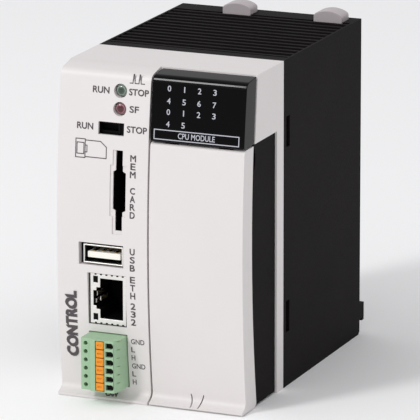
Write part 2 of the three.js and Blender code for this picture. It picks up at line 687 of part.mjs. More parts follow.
// Glossy window in front of the head.
function displayWindow() {
  const low = HEAD_Z - 0.1;
  const turn = HEIGHT - 3;
  const brow = frontY(turn, -WINDOW_OUT);
  const crest = [brow + 2.2, HEIGHT - 0.9];
  const front = displayFrontLine(0, low + 0.4, turn);
  const over = curvePoints(front[front.length - 1], [brow + 0.25, HEIGHT - 1.15], crest, 7);
  const rearTop = [-HEAD_DEPTH_TOP - GAP, HEIGHT - 0.4];
  const rearLow = [-HEAD_DEPTH_BASE - GAP, low];
  const foot = [frontY(low, -WINDOW_OUT) + 0.35, low];
  const side = [rearLow, foot, ...front, ...over.slice(1), rearTop];
  const wall = WINDOW_WALL;
  const inside = [[rearLow[0] + 1, low + wall], ...displayFrontLine(wall, low + wall, turn - 0.3),
    [brow + 3.2, HEIGHT - 2.6], [rearTop[0] + 1, HEIGHT - 2.1]];
  const x = [DOOR_LEFT + 0.1, DOOR_RIGHT];
  return cut(acrossX(side.reverse(), x), acrossX(inside.reverse(), grown(x, -1.5)));
}

function displayBoard() {
  const y = [-HEAD_DEPTH_BASE - 2, -HEAD_DEPTH_BASE - 2 + BOARD];
  const notch = block([DOOR_RIGHT - 6, DOOR_RIGHT], grown(y, 1), [HEAD_Z, HEAD_Z + 4]);
  return cut(block([DOOR_LEFT + 2.2, DOOR_RIGHT - 2.2], y, [HEAD_Z + 2, HEIGHT - 3.6]), notch);
}

// Plate with a well for every lamp behind the display.
function displayLightMask() {
  const y = [-HEAD_DEPTH_BASE - 3.5, -HEAD_DEPTH_BASE - 2 - GAP];
  const lamps = [];
  for (let column = 0; column < 4; column += 1) {
    for (let row = 0; row < LAMP_ROWS; row += 1) {
      const x = DOOR_LEFT + LAMP_FIRST_X + column * LAMP_PITCH_X;
      const z = HEIGHT - LAMP_TOP - row * LAMP_PITCH_Z;
      lamps.push(block(grown([x, x], 1.3), grown(y, 1), grown([z, z], 1.1)));
    }
  }
  const x = [DOOR_LEFT + LAMP_FIRST_X - 2.1, DOOR_LEFT + LAMP_FIRST_X + 3 * LAMP_PITCH_X + 2.1];
  return cut(block(x, y, [HEAD_Z + 3, HEIGHT - 3.2]), ...lamps);
}

// ---------------------------------------------------------------- connector panel

// Domed lamp that looks along -Y.
function statusLed(drop) {
  const z = HEIGHT - drop;
  const tip = frontY(z) + 0.25;
  const dome = curvePoints([0, tip], [LED_RADIUS, tip], [LED_RADIUS, tip + LED_RADIUS], 8);
  const profile = [...dome, [LED_RADIUS, tip + 4], [0, tip + 4]].map(([r, y]) => new THREE.Vector2(r, y));
  return solid(new THREE.LatheGeometry(profile, 24).translate(LED_X, 0, z));
}

function ledHolder() {
  const z = grown([HEIGHT - LED_DROPS.red, HEIGHT - LED_DROPS.green], LED_RADIUS + 0.7);
  const front = frontY(HEIGHT - LED_DROPS.green) + 4.25 + GAP;
  const bar = block([LED_X - 2.6, MAIN_BOARD_X - GAP], [front, front + 3.2], z);
  const gap = grown([middleOfLeds(), middleOfLeds()], 1);
  return cut(bar, block([LED_X - 3, LED_X + 0.8], [front - 1, front + 4], gap));
}

function middleOfLeds() {
  return HEIGHT - (LED_DROPS.red + LED_DROPS.green) / 2;
}

function switchPlace() {
  const z = [HEIGHT - SWITCH_DROP[1], HEIGHT - SWITCH_DROP[0]];
  const front = frontY((z[0] + z[1]) / 2) + SWITCH_FACE;
  return { z, front };
}

// Slide switch behind its opening; the lever runs in its slot.
function modeSwitchBody() {
  const { z, front } = switchPlace();
  const body = block([SWITCH_X[0] - 1.2, MAIN_BOARD_X - GAP], [front, front + SWITCH_DEPTH], grown(z, 1.2));
  return cut(body, block(SWITCH_X, [front - 1, front + 2.6], grown(z, -0.9)));
}

function modeSwitchLever() {
  const { z, front } = switchPlace();
  const right = SWITCH_X[1] - RUN_GAP;
  const side = [right - LEVER_WIDTH, right];
  const face = front - SWITCH_FACE + KNOB_DEPTH;
  const stem = block(side, [face, front + 2.4], grown(z, -1.1));
  const knob = block(side, [face, front - RUN_GAP], grown(z, -0.25));
  const grip = block(grown(side, 0.25 - LEVER_WIDTH / 2), [face - 1, face + 0.3], grown(z, 1));
  return cut(join(stem, knob), grip);
}

// Socket that takes the memory card on edge.
function cardSocket() {
  const inset = THIN_WALL + 0.15;
  const back = frontY(CARD_Z[1]) + CARD_REACH;
  const through = [-FRONT_DEPTH, back];
  const shell = behindFront([THUMB_X[0] - 1, MAIN_BOARD_X - GAP], grown(CARD_Z, 0.9), inset, CARD_REACH + 3);
  const thumb = thumbWay([-FRONT_DEPTH, frontY(CARD_Z[1]) + 8]);
  return cut(shell, block(CARD_X, through, CARD_Z), thumb);
}

// Folded sheet shell of the USB socket.
function usbShell() {
  const front = frontY((USB_Z[0] + USB_Z[1]) / 2) + 0.5;
  const y = [front, front + USB_REACH];
  const inside = block(grown(USB_X, -USB_SHELL), [y[0] - 1, y[1] - 1], grown(USB_Z, -USB_SHELL));
  const shell = cut(block(USB_X, y, USB_Z), inside);
  const springs = [];
  for (const x of rowOf(2, 6.4, (USB_X[0] + USB_X[1]) / 2)) {
    springs.push(block([x - 0.8, x + 0.8], [y[0] + 3, y[0] + 7], [USB_Z[1] - 1, USB_Z[1] + 1]));
    springs.push(block([x - 0.8, x + 0.8], [y[0] + 3, y[0] + 7], [USB_Z[0] - 1, USB_Z[0] + 1]));
  }
  return cut(shell, ...springs);
}

function usbTongue() {
  const front = frontY((USB_Z[0] + USB_Z[1]) / 2) + 1.1;
  const middle = (USB_Z[0] + USB_Z[1]) / 2;
  const back = front + USB_REACH - 2;
  return join(
    block(grown(USB_X, -1.1), [front, back], [middle - 1.3, middle + 0.55]),
    block(grown(USB_X, -USB_SHELL - GAP), [back - 3, back], grown(USB_Z, -USB_SHELL - GAP)),
  );
}

// Way of the network plug and its catch between two places along Y.
function jackWay(y, widen = 0) {
  return [
    block(grown(JACK_BORE_X, widen), y, grown(JACK_BORE_Z, widen)),
    block([JACK_KEY_X - widen, JACK_BORE_X[0] + 1], y, grown(JACK_KEY_Z, widen)),
    block([JACK_KEY_X + 1 - widen, JACK_BORE_X[0] + 1], y, grown(JACK_KEY_Z, widen + 1)),
  ];
}

// Metal shield round the Ethernet socket, with windows for its two lamps.
function ethernetShield() {
  const front = frontY(JACK_Z[0]) + 0.2;
  const back = front + JACK_REACH;
  const inside = block(grown(JACK_X, -JACK_SHELL), [front + JACK_SHELL, back + 1], grown(JACK_Z, -JACK_SHELL));
  const face = [front - 1, front + 1];
  const lamps = JACK_LAMP_Z.map((z) => block(JACK_LAMP_X, face, z));
  return cut(block(JACK_X, [front, back], JACK_Z), inside, ...jackWay(face), ...lamps);
}

// Moulded body of the Ethernet socket behind the shield's face.
function ethernetInsert() {
  const front = frontY(JACK_Z[0]) + 0.2 + JACK_SHELL + RUN_GAP;
  const side = -JACK_SHELL - RUN_GAP;
  const body = block(grown(JACK_X, side), [front, front + JACK_REACH - 1.5], grown(JACK_Z, side));
  return cut(body, ...jackWay([front - 1, front + JACK_DEPTH], 0.05));
}

// Shroud with its contact pins, on the main board.
function canHeader() {
  const y = [HEADER_FRONT, HEADER_FRONT + PLUG_NOSE + 5];
  const shroud = cut(block(PLUG_X, y, PLUG_Z),
    block(grown(PLUG_X, -HEADER_WALL), [y[0] - 1, HEADER_FRONT + PLUG_NOSE + 1], grown(PLUG_Z, -HEADER_WALL)));
  const pins = rowOf(POLES, POLE_PITCH, PLUG_MID_Z).map((z) =>
    block([15.3, 16.2], [HEADER_FRONT + 1.5, HEADER_FRONT + PLUG_NOSE + 2], [z - 0.45, z + 0.45]));
  return join(shroud, ...pins);
}

// Plug with spring terminals: test holes, lever pocket and wire holes on its face.
function canPlug() {
  const [left, right] = PLUG_X;
  const f = PLUG_FRONT;
  const back = HEADER_FRONT - GAP;
  const plan = [[left, back], [left, f + 0.9], [left + 3.1, f + 0.9], [left + 3.4, f], [right - 0.9, f],
    [right, f + 2.4], [right, back]];
  const shape = extruded(outline(plan), PLUG_Z[1] - PLUG_Z[0]);
  shape.translate(0, 0, PLUG_Z[0]);
  const noseX = grown(PLUG_X, -HEADER_WALL - RUN_GAP);
  const noseZ = grown(PLUG_Z, -HEADER_WALL - RUN_GAP);
  const nose = block(noseX, [back - 1, HEADER_FRONT + PLUG_NOSE], noseZ);
  const pocket = block(grown(LEVER_X, RUN_GAP), [f - 1, f + LEVER_LENGTH + LEVER_TRAVEL + GAP],
    grown([PLUG_MID_Z - (POLES * POLE_PITCH) / 2, PLUG_MID_Z + (POLES * POLE_PITCH) / 2], 0.05));
  const tools = [pocket];
  for (const z of rowOf(POLES, POLE_PITCH, PLUG_MID_Z)) {
    tools.push(rodY([f, f + 3], [left + 1.5, z], 0.65, 12));
    tools.push(rodY([f - 1, f + 5], [WIRE_X[1] - 0.95, z], 0.93, 12));
    tools.push(block([WIRE_X[0], WIRE_X[1] - 0.95], [f - 1, f + 5], [z - 0.85, z + 0.85]));
    tools.push(block([15, 16.5], [HEADER_FRONT + 1, HEADER_FRONT + PLUG_NOSE + 1], [z - 0.75, z + 0.75]));
    const joint = z + POLE_PITCH / 2;
    tools.push(block([right - 0.55, right + 1], [f - 1, f + 2.7], [joint - 0.11, joint + 0.11]));
  }
  return cut(join(solid(shape), nose), ...tools);
}

// One orange lever, pressed in to open its terminal.
function canLever(z) {
  const half = (POLE_PITCH - 0.3) / 2;
  const f = PLUG_FRONT - 0.15;
  const plan = [[LEVER_X[0], f + LEVER_LENGTH], [LEVER_X[0], f + 0.3], [LEVER_X[0] + 0.3, f],
    [LEVER_X[1] - 0.3, f], [LEVER_X[1], f + 0.3], [LEVER_X[1], f + LEVER_LENGTH]];
  const shape = extruded(outline(plan), 2 * half);
  shape.translate(0, 0, z - half);
  const notch = block([LEVER_X[0] + 0.6, LEVER_X[1] - 0.6], [f - 1, f + 0.35], [z - 0.25, z + 0.25]);
  return cut(solid(shape), notch);
}

// ---------------------------------------------------------------- inside the case

function mainBoard() {
  const x = [MAIN_BOARD_X, MAIN_BOARD_X + BOARD];
  const whole = block(x, [-MAIN_BOARD_FRONT, LATCH_STEM_Y[0] - 2.5], [BOARD_EDGE, HEIGHT - BOARD_EDGE - 1]);
  const notch = block(grown(x, 1), [-MAIN_BOARD_FRONT - 1, -MAIN_BOARD_FRONT + 4],
    [HEIGHT - BOARD_EDGE - 4, HEIGHT]);
  return cut(whole, notch);
}

function powerBoard() {
  const x = [powerBoardX(), powerBoardX() + BOARD];
  return cut(
    block(x, [8, LATCH_STEM_Y[0] - 2.5], [BOARD_EDGE, HEIGHT - BOARD_EDGE - 1]),
    block(grown(x, 1), [7, 14], [HEIGHT - BOARD_EDGE - 10, HEIGHT]),
  );
}

// Wound transformer on the power board.
function powerTransformer() {
  const x = [powerBoardX() - GAP - 13, powerBoardX() - GAP];
  const [y, z] = [28, 32];
  const core = cut(block(x, [y - 9, y + 9], [z - 8, z + 8]),
    block([x[0] + 3, x[1] - 3], [y - 10, y + 10], [z - 5, z + 5]));
  const coil = block([x[0] + 3.5, x[1] - 3.5], [y - 7, y + 7], [z - 9.5, z + 9.5]);
  return join(core, coil);
}

function capacitor(y) {
  const x = [powerBoardX() - GAP - 16, powerBoardX() - GAP];
  const can = rodX(x, [y, 62], 5, 24);
  return cut(can, block([x[0] - 1, x[0] + 0.4], [y - 3.5, y + 3.5], [61.7, 62.3]),
    block([x[0] - 1, x[0] + 0.4], [y - 0.3, y + 0.3], [58.5, 65.5]));
}

function processor() {
  const x = [MAIN_BOARD_X + BOARD + 0.1, MAIN_BOARD_X + BOARD + 2];
  const chip = block(x, [14, 31], [40, 57]);
  return cut(chip, rodX([x[1] - 0.3, x[1] + 1], [15.6, 55.4], 0.6, 12));
}

function busConnector() {
  const y = [CASE_DEPTH - 9.6, CASE_DEPTH + BUS_OUT];
  const shell = block(BUS_X, y, BUS_Z);
  const mouth = block(grown(BUS_X, -1.2), [y[1] - 6, y[1] + 1], grown(BUS_Z, -1.4));
  const middle = (BUS_X[0] + BUS_X[1]) / 2;
  const blade = block(grown([middle, middle], 0.9), [y[1] - 7, y[1] - 1.5], grown(BUS_Z, -3));
  return join(cut(shell, mouth), blade);
}

function batterySpan() {
  return grown([BATTERY_CENTRE.y, BATTERY_CENTRE.y], BATTERY_LENGTH / 2);
}

function batteryX() {
  return CASE_WALL + 2 + BATTERY_RADIUS;
}

// Half-cell lithium battery lying along Y.
function battery() {
  const y = batterySpan();
  const centre = [batteryX(), BATTERY_CENTRE.z];
  return join(rodY([y[0], y[1] - 1], centre, BATTERY_RADIUS, 32), rodY([y[1] - 1.5, y[1]], centre, 2.6, 20));
}

// Cradle on the main board, open towards the cover.
function batteryHolder() {
  const y = grown(batterySpan(), BATTERY_FIT + 1.6);
  const z = grown([BATTERY_CENTRE.z, BATTERY_CENTRE.z], BATTERY_RADIUS + BATTERY_FIT + 1.4);
  const cradle = block([batteryX() - 3, MAIN_BOARD_X - GAP], y, z);
  const way = grown(batterySpan(), BATTERY_FIT);
  return cut(
    cradle,
    rodY(way, [batteryX(), BATTERY_CENTRE.z], BATTERY_RADIUS + BATTERY_FIT, 32),
    block([0, batteryX()], way, grown([BATTERY_CENTRE.z, BATTERY_CENTRE.z], BATTERY_RADIUS + BATTERY_FIT)),
  );
}

function coverEdge() {
  return {
    y: grown(batterySpan(), 3),
    z: grown([BATTERY_CENTRE.z, BATTERY_CENTRE.z], BATTERY_RADIUS + 3),
  };
}

// Window in the left side through which the battery is changed.
function batteryWindow() {
  const { y, z } = coverEdge();
  return join(
    block([-1, 1.1], grown(y, RUN_GAP), grown(z, RUN_GAP)),
    block([0, CASE_WALL + 1], grown(y, -1.4), grown(z, -1.4)),
  );
}

// Snap-in cover plate over that window.
function batteryCover() {
  const { y, z } = coverEdge();
  const plate = block([0, 0.9], y, z);
  const rim = cut(block([0.5, CASE_WALL + 0.9], grown(y, -1.7), grown(z, -1.7)),
    block([0.4, CASE_WALL + 2], grown(y, -2.9), grown(z, -2.9)));
  const middle = (y[0] + y[1]) / 2;
  const nail = block([-1, 0.4], [middle - 4, middle + 4], [z[1] - 2.2, z[1] - 0.8]);
  return cut(join(plate, rim), nail);
}

// ---------------------------------------------------------------- latches

// Push latch: arched head on top, stem, and a tooth through the rear wall.
function moduleLatch(x) {
  const sideX = [x - LATCH_WIDTH / 2, x + LATCH_WIDTH / 2];
  const [rise, peak] = LATCH_RISE.map((by) => HEIGHT + by);
  const arch = sideX.map((side, i) => [side + (i ? -LATCH_ROUND : LATCH_ROUND), rise]);
  const ends = sideX.map((side, i) =>
    curvePoints([side, rise - 1.4], [side, rise - 0.55], arch[i], 4));
  const top = [...ends[1], ...curvePoints(arch[1], [x, 2 * peak - rise], arch[0], 10).slice(1, -1),
    ...ends[0].reverse()];
  const headBase = HEIGHT - 3.6 + LATCH_TRAVEL;
  const head = alongY([[sideX[0], headBase], [sideX[1], headBase], ...top], LATCH_Y);
  const stem = block(sideX, LATCH_STEM_Y, [LATCH_BASE, HEIGHT]);
  const [high, low] = TOOTH_DROP.map((drop) => HEIGHT - drop);
  const tooth = acrossX([[LATCH_STEM_Y[1] - 1, low], [CASE_DEPTH + TOOTH_OUT - 1.4, low],
    [CASE_DEPTH + TOOTH_OUT, low + 1], [CASE_DEPTH + TOOTH_OUT, high - 2.4], [CASE_DEPTH + 0.6, high],
    [LATCH_STEM_Y[1] - 1, high]], grown(sideX, -1));
  const relief = block(grown(sideX, -2.4), [LATCH_STEM_Y[0] - 1, LATCH_STEM_Y[0] + 1.8],
    [LATCH_BASE + 4, HEIGHT - 16]);
  return cut(join(head, stem, tooth), relief);
}

class Helix extends THREE.Curve {
  constructor(radius, rise, turns) {
    super();
    Object.assign(this, { radius, rise, turns });
  }

  getPoint(t, target = new THREE.Vector3()) {
    const angle = 2 * Math.PI * this.turns * t;
    return target.set(this.radius * Math.cos(angle), this.radius * Math.sin(angle), this.rise * t);
  }
}

// Coil spring under a latch's stem.
function latchSpring(x) {
  const rise = SPRING_LENGTH - 2 * SPRING_WIRE - 0.1;
  const wire = new THREE.Shape().absarc(0, 0, SPRING_WIRE, 0, 2 * Math.PI);
  const geometry = new THREE.ExtrudeGeometry(wire, {
    steps: SPRING_TURNS * 12,
    curveSegments: 3,
    extrudePath: new Helix(SPRING_RADIUS, rise, SPRING_TURNS),
  });
  const base = LATCH_BASE - SPRING_LENGTH - GAP + SPRING_WIRE + 0.1;
  geometry.translate(x, (LATCH_STEM_Y[0] + LATCH_STEM_Y[1]) / 2, base);
  return solid(geometry);
}

// ---------------------------------------------------------------- assembly

const finishes = {
  blackCase: { color: 0x231f20, roughness: 0.62, metalness: 0 },
  lightBezel: { color: 0xe3e0df, roughness: 0.5, metalness: 0 },
  gloss: { color: 0x0b0b0d, roughness: 0.12, metalness: 0 },
  latchGrey: { color: 0xb3aaab, roughness: 0.5, metalness: 0 },
  plugGreen: { color: 0x8fbf9c, roughness: 0.45, metalness: 0 },
  leverOrange: { color: 0xee9630, roughness: 0.4, metalness: 0 },
  boardGreen: { color: 0x1f5a37, roughness: 0.5, metalness: 0 },
  blackMoulding: { color: 0x161616, roughness: 0.55, metalness: 0 },
  greyMoulding: { color: 0x4b4d4f, roughness: 0.55, metalness: 0 },
  whiteMoulding: { color: 0xf0efe8, roughness: 0.45, metalness: 0 },
  card: { color: 0xf4f3ee, roughness: 0.8, metalness: 0 },
  lensGreen: { color: 0x4c7a5e, roughness: 0.15, metalness: 0 },
  lensRed: { color: 0x6e1f28, roughness: 0.15, metalness: 0 },
  tinned: { color: 0xc9c9c4, roughness: 0.3, metalness: 1 },
  steel: { color: 0xa8abad, roughness: 0.35, metalness: 1 },
  sleeve: { color: 0x2f6da8, roughness: 0.4, metalness: 0 },
};

const module = new THREE.Group();
module.position.set(-WIDTH / 2, -(PLUG_FRONT - 0.15 + REARMOST) / 2, 0);

function add(name, body, finish) {
  const mesh = new THREE.Mesh(geometryOf(body), new THREE.MeshStandardMaterial(finishes[finish]));
  mesh.name = name;
  module.add(mesh);
}

add("rear_case", rearCase(), "blackCase");
add("front_bezel", frontBezel(), "lightBezel");
add("terminal_carrier", terminalCarrier(), "blackCase");
add("door", door(), "lightBezel");
add("door_hinge_pin", doorHingePin(), "steel");
add("label_card", labelCard(), "card");
add("terminal_block", terminalBlock(), "greyMoulding");
add("terminal_header", terminalHeader(), "blackMoulding");
screwHeights().forEach((z, i) => add(`terminal_screw_${i + 1}`, terminalScrew(z), "steel"));
add("io_board", ioBoard(), "boardGreen");
add("display_window", displayWindow(), "gloss");
add("display_board", displayBoard(), "boardGreen");
add("display_light_mask", displayLightMask(), "blackMoulding");
add("status_led_green", statusLed(LED_DROPS.green), "lensGreen");
add("status_led_red", statusLed(LED_DROPS.red), "lensRed");
add("led_holder", ledHolder(), "blackMoulding");
add("mode_switch_body", modeSwitchBody(), "blackMoulding");
add("mode_switch_lever", modeSwitchLever(), "blackMoulding");
add("card_socket", cardSocket(), "blackMoulding");
add("usb_shell", usbShell(), "tinned");
add("usb_tongue", usbTongue(), "whiteMoulding");
add("ethernet_shield", ethernetShield(), "tinned");
add("ethernet_insert", ethernetInsert(), "blackMoulding");
add("can_header", canHeader(), "plugGreen");
add("can_plug", canPlug(), "plugGreen");
rowOf(POLES, -POLE_PITCH, PLUG_MID_Z).forEach((z, i) => add(`can_lever_${i + 1}`, canLever(z), "leverOrange"));
add("main_board", mainBoard(), "boardGreen");
add("processor", processor(), "blackMoulding");
add("power_board", powerBoard(), "boardGreen");
add("power_transformer", powerTransformer(), "greyMoulding");
[22, 36].forEach((y, i) => add(`capacitor_${i + 1}`, capacitor(y), "sleeve"));
add("bus_connector", busConnector(), "blackMoulding");
add("battery", battery(), "sleeve");
add("battery_holder", batteryHolder(), "blackMoulding");
add("battery_cover", batteryCover(), "blackCase");
[["left", LATCH_LEFT_X], ["right", LATCH_RIGHT_X]].forEach(([side, x]) => {
  add(`module_latch_${side}`, moduleLatch(x), "latchGrey");
  add(`latch_spring_${side}`, latchSpring(x), "steel");
});

export default module;
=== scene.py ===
"""Studio scene of a plug-in processor module for a controller rack.

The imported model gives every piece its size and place. This script rounds and dresses those
pieces, adds the printed, plated and fitted detail that is too fine for them, and sets camera,
floor and light.
"""

from __future__ import annotations

import json
import logging
import math
from dataclasses import dataclass
from enum import Enum
from typing import Iterable

import bpy
from mathutils import Matrix, Vector

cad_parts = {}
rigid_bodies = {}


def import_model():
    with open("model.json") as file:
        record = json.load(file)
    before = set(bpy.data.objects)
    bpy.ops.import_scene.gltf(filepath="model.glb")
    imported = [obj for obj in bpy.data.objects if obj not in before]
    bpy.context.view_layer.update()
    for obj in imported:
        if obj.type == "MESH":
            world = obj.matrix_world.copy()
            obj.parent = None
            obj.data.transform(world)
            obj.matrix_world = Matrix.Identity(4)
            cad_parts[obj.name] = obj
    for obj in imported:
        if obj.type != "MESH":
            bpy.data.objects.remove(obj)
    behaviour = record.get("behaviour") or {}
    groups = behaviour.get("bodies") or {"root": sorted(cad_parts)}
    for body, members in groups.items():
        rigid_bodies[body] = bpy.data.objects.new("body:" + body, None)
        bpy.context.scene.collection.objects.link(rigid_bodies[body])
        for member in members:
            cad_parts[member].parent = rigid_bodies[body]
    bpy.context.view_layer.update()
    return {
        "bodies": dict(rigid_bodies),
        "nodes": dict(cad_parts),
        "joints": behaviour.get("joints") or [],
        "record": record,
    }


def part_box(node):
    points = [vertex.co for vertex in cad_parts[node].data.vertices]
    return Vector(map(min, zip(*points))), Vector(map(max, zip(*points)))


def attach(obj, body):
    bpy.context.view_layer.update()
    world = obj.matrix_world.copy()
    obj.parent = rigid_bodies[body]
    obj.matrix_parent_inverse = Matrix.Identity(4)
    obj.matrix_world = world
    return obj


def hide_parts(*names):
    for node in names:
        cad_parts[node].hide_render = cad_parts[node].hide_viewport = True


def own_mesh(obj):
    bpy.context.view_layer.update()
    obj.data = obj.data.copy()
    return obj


LOG = logging.getLogger("processor_module")
MM = 0.001
Point = tuple[float, float, float]
Span = tuple[float, float]
Colour = tuple[float, float, float, float]
Piece = bpy.types.Object
Material = bpy.types.Material
Socket = bpy.types.NodeSocket


# ---- colour and nodes


def linear(colour: str) -> Colour:
    """Turn an sRGB hex colour into Blender's linear values.

    Args:
        colour: Six hex digits.

    Returns:
        Red, green, blue and an alpha of one.
    """
    parts = [int(colour[i : i + 2], 16) / 255 for i in (0, 2, 4)]
    bent = [c / 12.92 if c <= 0.04045 else ((c + 0.055) / 1.055) ** 2.4 for c in parts]
    return (bent[0], bent[1], bent[2], 1.0)


def shaded(colour: str, by: float) -> Colour:
    """Scale a colour's linear values.

    Args:
        colour: Six hex digits.
        by: Factor on each value.

    Returns:
        The lighter or darker colour.
    """
    red, green, blue, _ = linear(colour)
    return (min(1.0, red * by), min(1.0, green * by), min(1.0, blue * by), 1.0)


def add_node(
    tree: bpy.types.NodeTree, kind: str, settings: dict | None = None, **inputs: object
) -> bpy.types.Node:
    """Add a shader node with its settings, socket values and links.

    Args:
        tree: The material's node tree.
        kind: The node's type name.
        settings: Attributes to set on the node.
        **inputs: Socket values, or sockets to link, by the socket's name in lower case.

    Returns:
        The new node.
    """
    made = tree.nodes.new(kind)
    for name, value in (settings or {}).items():
        setattr(made, name, value)
    for socket in made.inputs:
        if not socket.enabled:
            continue
        value = inputs.get(socket.name.lower().replace(" ", "_"))
        if isinstance(value, Socket):
            tree.links.new(value, socket)
        elif value is not None:
            socket.default_value = value
    return made


class Shading:
    """A material being made, with the object's own coordinates at hand.

    Args:
        name: The material's name.
        **fixed: Values of the shader's own sockets, by the socket's name in lower case.
    """

    def __init__(self, name: str, **fixed: float | Colour) -> None:
        self.material = bpy.data.materials.new(name)
        self.material.use_nodes = True
        self.tree = self.material.node_tree
        self.shader = self.tree.nodes["Principled BSDF"]
        for socket in self.shader.inputs:
            value = fixed.get(socket.name.lower().replace(" ", "_"))
            if value is not None:
                socket.default_value = value

    def place(self, **mapping: Point) -> Socket:
        """Give the object's own coordinates.

        Args:
            **mapping: Location, rotation or scale, where they are moved.

        Returns:
            The coordinates.
        """
        own = add_node(self.tree, "ShaderNodeTexCoord").outputs["Object"]
        if not mapping:
            return own
        return add_node(self.tree, "ShaderNodeMapping", vector=own, **mapping).outputs["Vector"]

    def noise(self, place: Socket, spacing_mm: float, detail: float) -> Socket:
        """Add noise with features of a real size.

        Args:
            place: Coordinates to read.
            spacing_mm: Size of its largest features.
            detail: Number of finer layers.

        Returns:
            Its value, 0 to 1.
        """
        scale = 1 / (spacing_mm * MM)
        made = add_node(self.tree, "ShaderNodeTexNoise", vector=place, scale=scale, detail=detail)
        return made.outputs["Fac"]

    def blend_of(self, one: Socket, two: Socket, share: float) -> Socket:
        """Mix two values.

        Args:
            one: The first value.
            two: The second value.
            share: How much of the first.

        Returns:
            The mixed value.
        """
        weak = add_node(self.tree, "ShaderNodeMath", {"operation": "MULTIPLY"})
        self.tree.links.new(two, weak.inputs[0])
        weak.inputs[1].default_value = 1 - share
        mixed = add_node(self.tree, "ShaderNodeMath", {"operation": "MULTIPLY_ADD"})
        self.tree.links.new(one, mixed.inputs[0])
        mixed.inputs[1].default_value = share
        self.tree.links.new(weak.outputs[0], mixed.inputs[2])
        return mixed.outputs[0]

    def tone(
        self, by: Socket, colour: str, low: float, high: float, ends: Span = (0.0, 1.0)
    ) -> None:
        """Run the colour between two tones of itself.

        Args:
            by: The value that it follows.
            colour: sRGB hex.
            low: Factor on the colour at the first end.
            high: Factor at the second.
            ends: Values at which the ends lie.
        """
        ramp = add_node(self.tree, "ShaderNodeValToRGB", fac=by)
        for stop, at, factor in zip(ramp.color_ramp.elements, ends, (low, high)):
            stop.position = at
            stop.color = shaded(colour, factor)
        self.tree.links.new(ramp.outputs["Color"], self.shader.inputs["Base Color"])

    def gloss(self, by: Socket, low: float, high: float, **span: float) -> None:
        """Run the roughness between two values.

        Args:
            by: The value that it follows.
            low: Roughness at its low end.
            high: Roughness at its high end.
            **span: from_min and from_max where the ends aren't 0 and 1.
        """
        made = add_node(self.tree, "ShaderNodeMapRange", value=by, to_min=low, to_max=high, **span)
        self.tree.links.new(made.outputs["Result"], self.shader.inputs["Roughness"])

    def bump(self, by: Socket, strength: float, distance: float) -> None:
        """Emboss the surface.

        Args:
            by: The height.
            strength: How much of it shows, 0 to 1.
            distance: Its real height, in metres.
        """
        settings = {"strength": strength, "distance": distance, "height": by}
        made = add_node(self.tree, "ShaderNodeBump", **settings)
        self.tree.links.new(made.outputs["Normal"], self.shader.inputs["Normal"])


# ---- finishes


@dataclass(frozen=True)
class Moulded:
    """A moulded plastic, which shows slow drifts of tone and the fine texture of its mould.

    Args:
        name: What the material is and how it was made.
        colour: sRGB hex.
        roughness: Mean roughness.
        grain_mm: Spacing of the mould's texture.
        depth: Strength of that texture, 0 to 1.
        drift: How far the tone wanders over a few centimetres.
        specular: Specular level of the shader.
        ior: Refractive index.
    """

    name: str
    colour: str
    roughness: float
    grain_mm: float
    depth: float
    drift: float = 0.03
    specular: float = 0.5
    ior: float = 1.5

    BROAD_MM = 28  # slow drift of tone
    FLOW_MM = 5  # flow marks
    BROAD_SHARE = 0.7
    DRIFT_ENDS = (0.3, 0.7)
    GRAIN_HEIGHT = 0.25  # of its spacing

    def build(self) -> Material:
        """Make the material."""
        made = Shading(self.name, ior=self.ior, specular_ior_level=self.specular)
        place = made.place()
        broad = made.noise(place, self.BROAD_MM, 2.0)
        flow = made.noise(place, self.FLOW_MM, 3.0)
        drift = made.blend_of(broad, flow, self.BROAD_SHARE)
        made.tone(drift, self.colour, 1 - self.drift, 1 + self.drift, self.DRIFT_ENDS)
        fine = made.noise(place, self.grain_mm, 3.0)
        made.gloss(fine, self.roughness * 0.85, self.roughness * 1.15)
        made.bump(fine, self.depth, self.grain_mm * MM * self.GRAIN_HEIGHT)
        return made.material


@dataclass(frozen=True)
class Polished:
    """A polished plastic under a clear hard coat, with the faint haze that handling leaves.

    Args:
        name: What the material is and how it was made.
        colour: sRGB hex.
        haze: Roughness in the hazy patches.
        specular: Specular level of the shader.
    """

    name: str
    colour: str
    haze: float
    specular: float

    SMEAR_MM = 9

    def build(self) -> Material:
        """Make the material."""
        made = Shading(self.name, ior=1.49, specular_ior_level=self.specular)
        smear = made.noise(made.place(), self.SMEAR_MM, 4.0)
        made.tone(smear, self.colour, 0.8, 1.3)
        made.gloss(smear, self.haze * 0.4, self.haze, from_min=0.35, from_max=0.75)
        return made.material


@dataclass(frozen=True)
class Metal:
    """A rolled or drawn metal, whose fine lines run along X.

    Args:
        name: What the metal is and how it was made.
        colour: sRGB hex of the bare metal.
        roughness: Mean roughness.
        line_mm: Spacing of the lines.
    """

    name: str
    colour: str
    roughness: float
    line_mm: float

    def build(self) -> Material:
        """Make the material."""
        made = Shading(self.name, ior=1.5, metallic=1.0)
        lines = made.noise(made.place(scale=(0.06, 1.0, 1.0)), self.line_mm, 2.0)
        made.tone(lines, self.colour, 0.82, 1.1)
        made.gloss(lines, self.roughness * 0.7, self.roughness * 1.3)
        made.bump(lines, 0.15, self.line_mm * MM * 0.1)
        return made.material


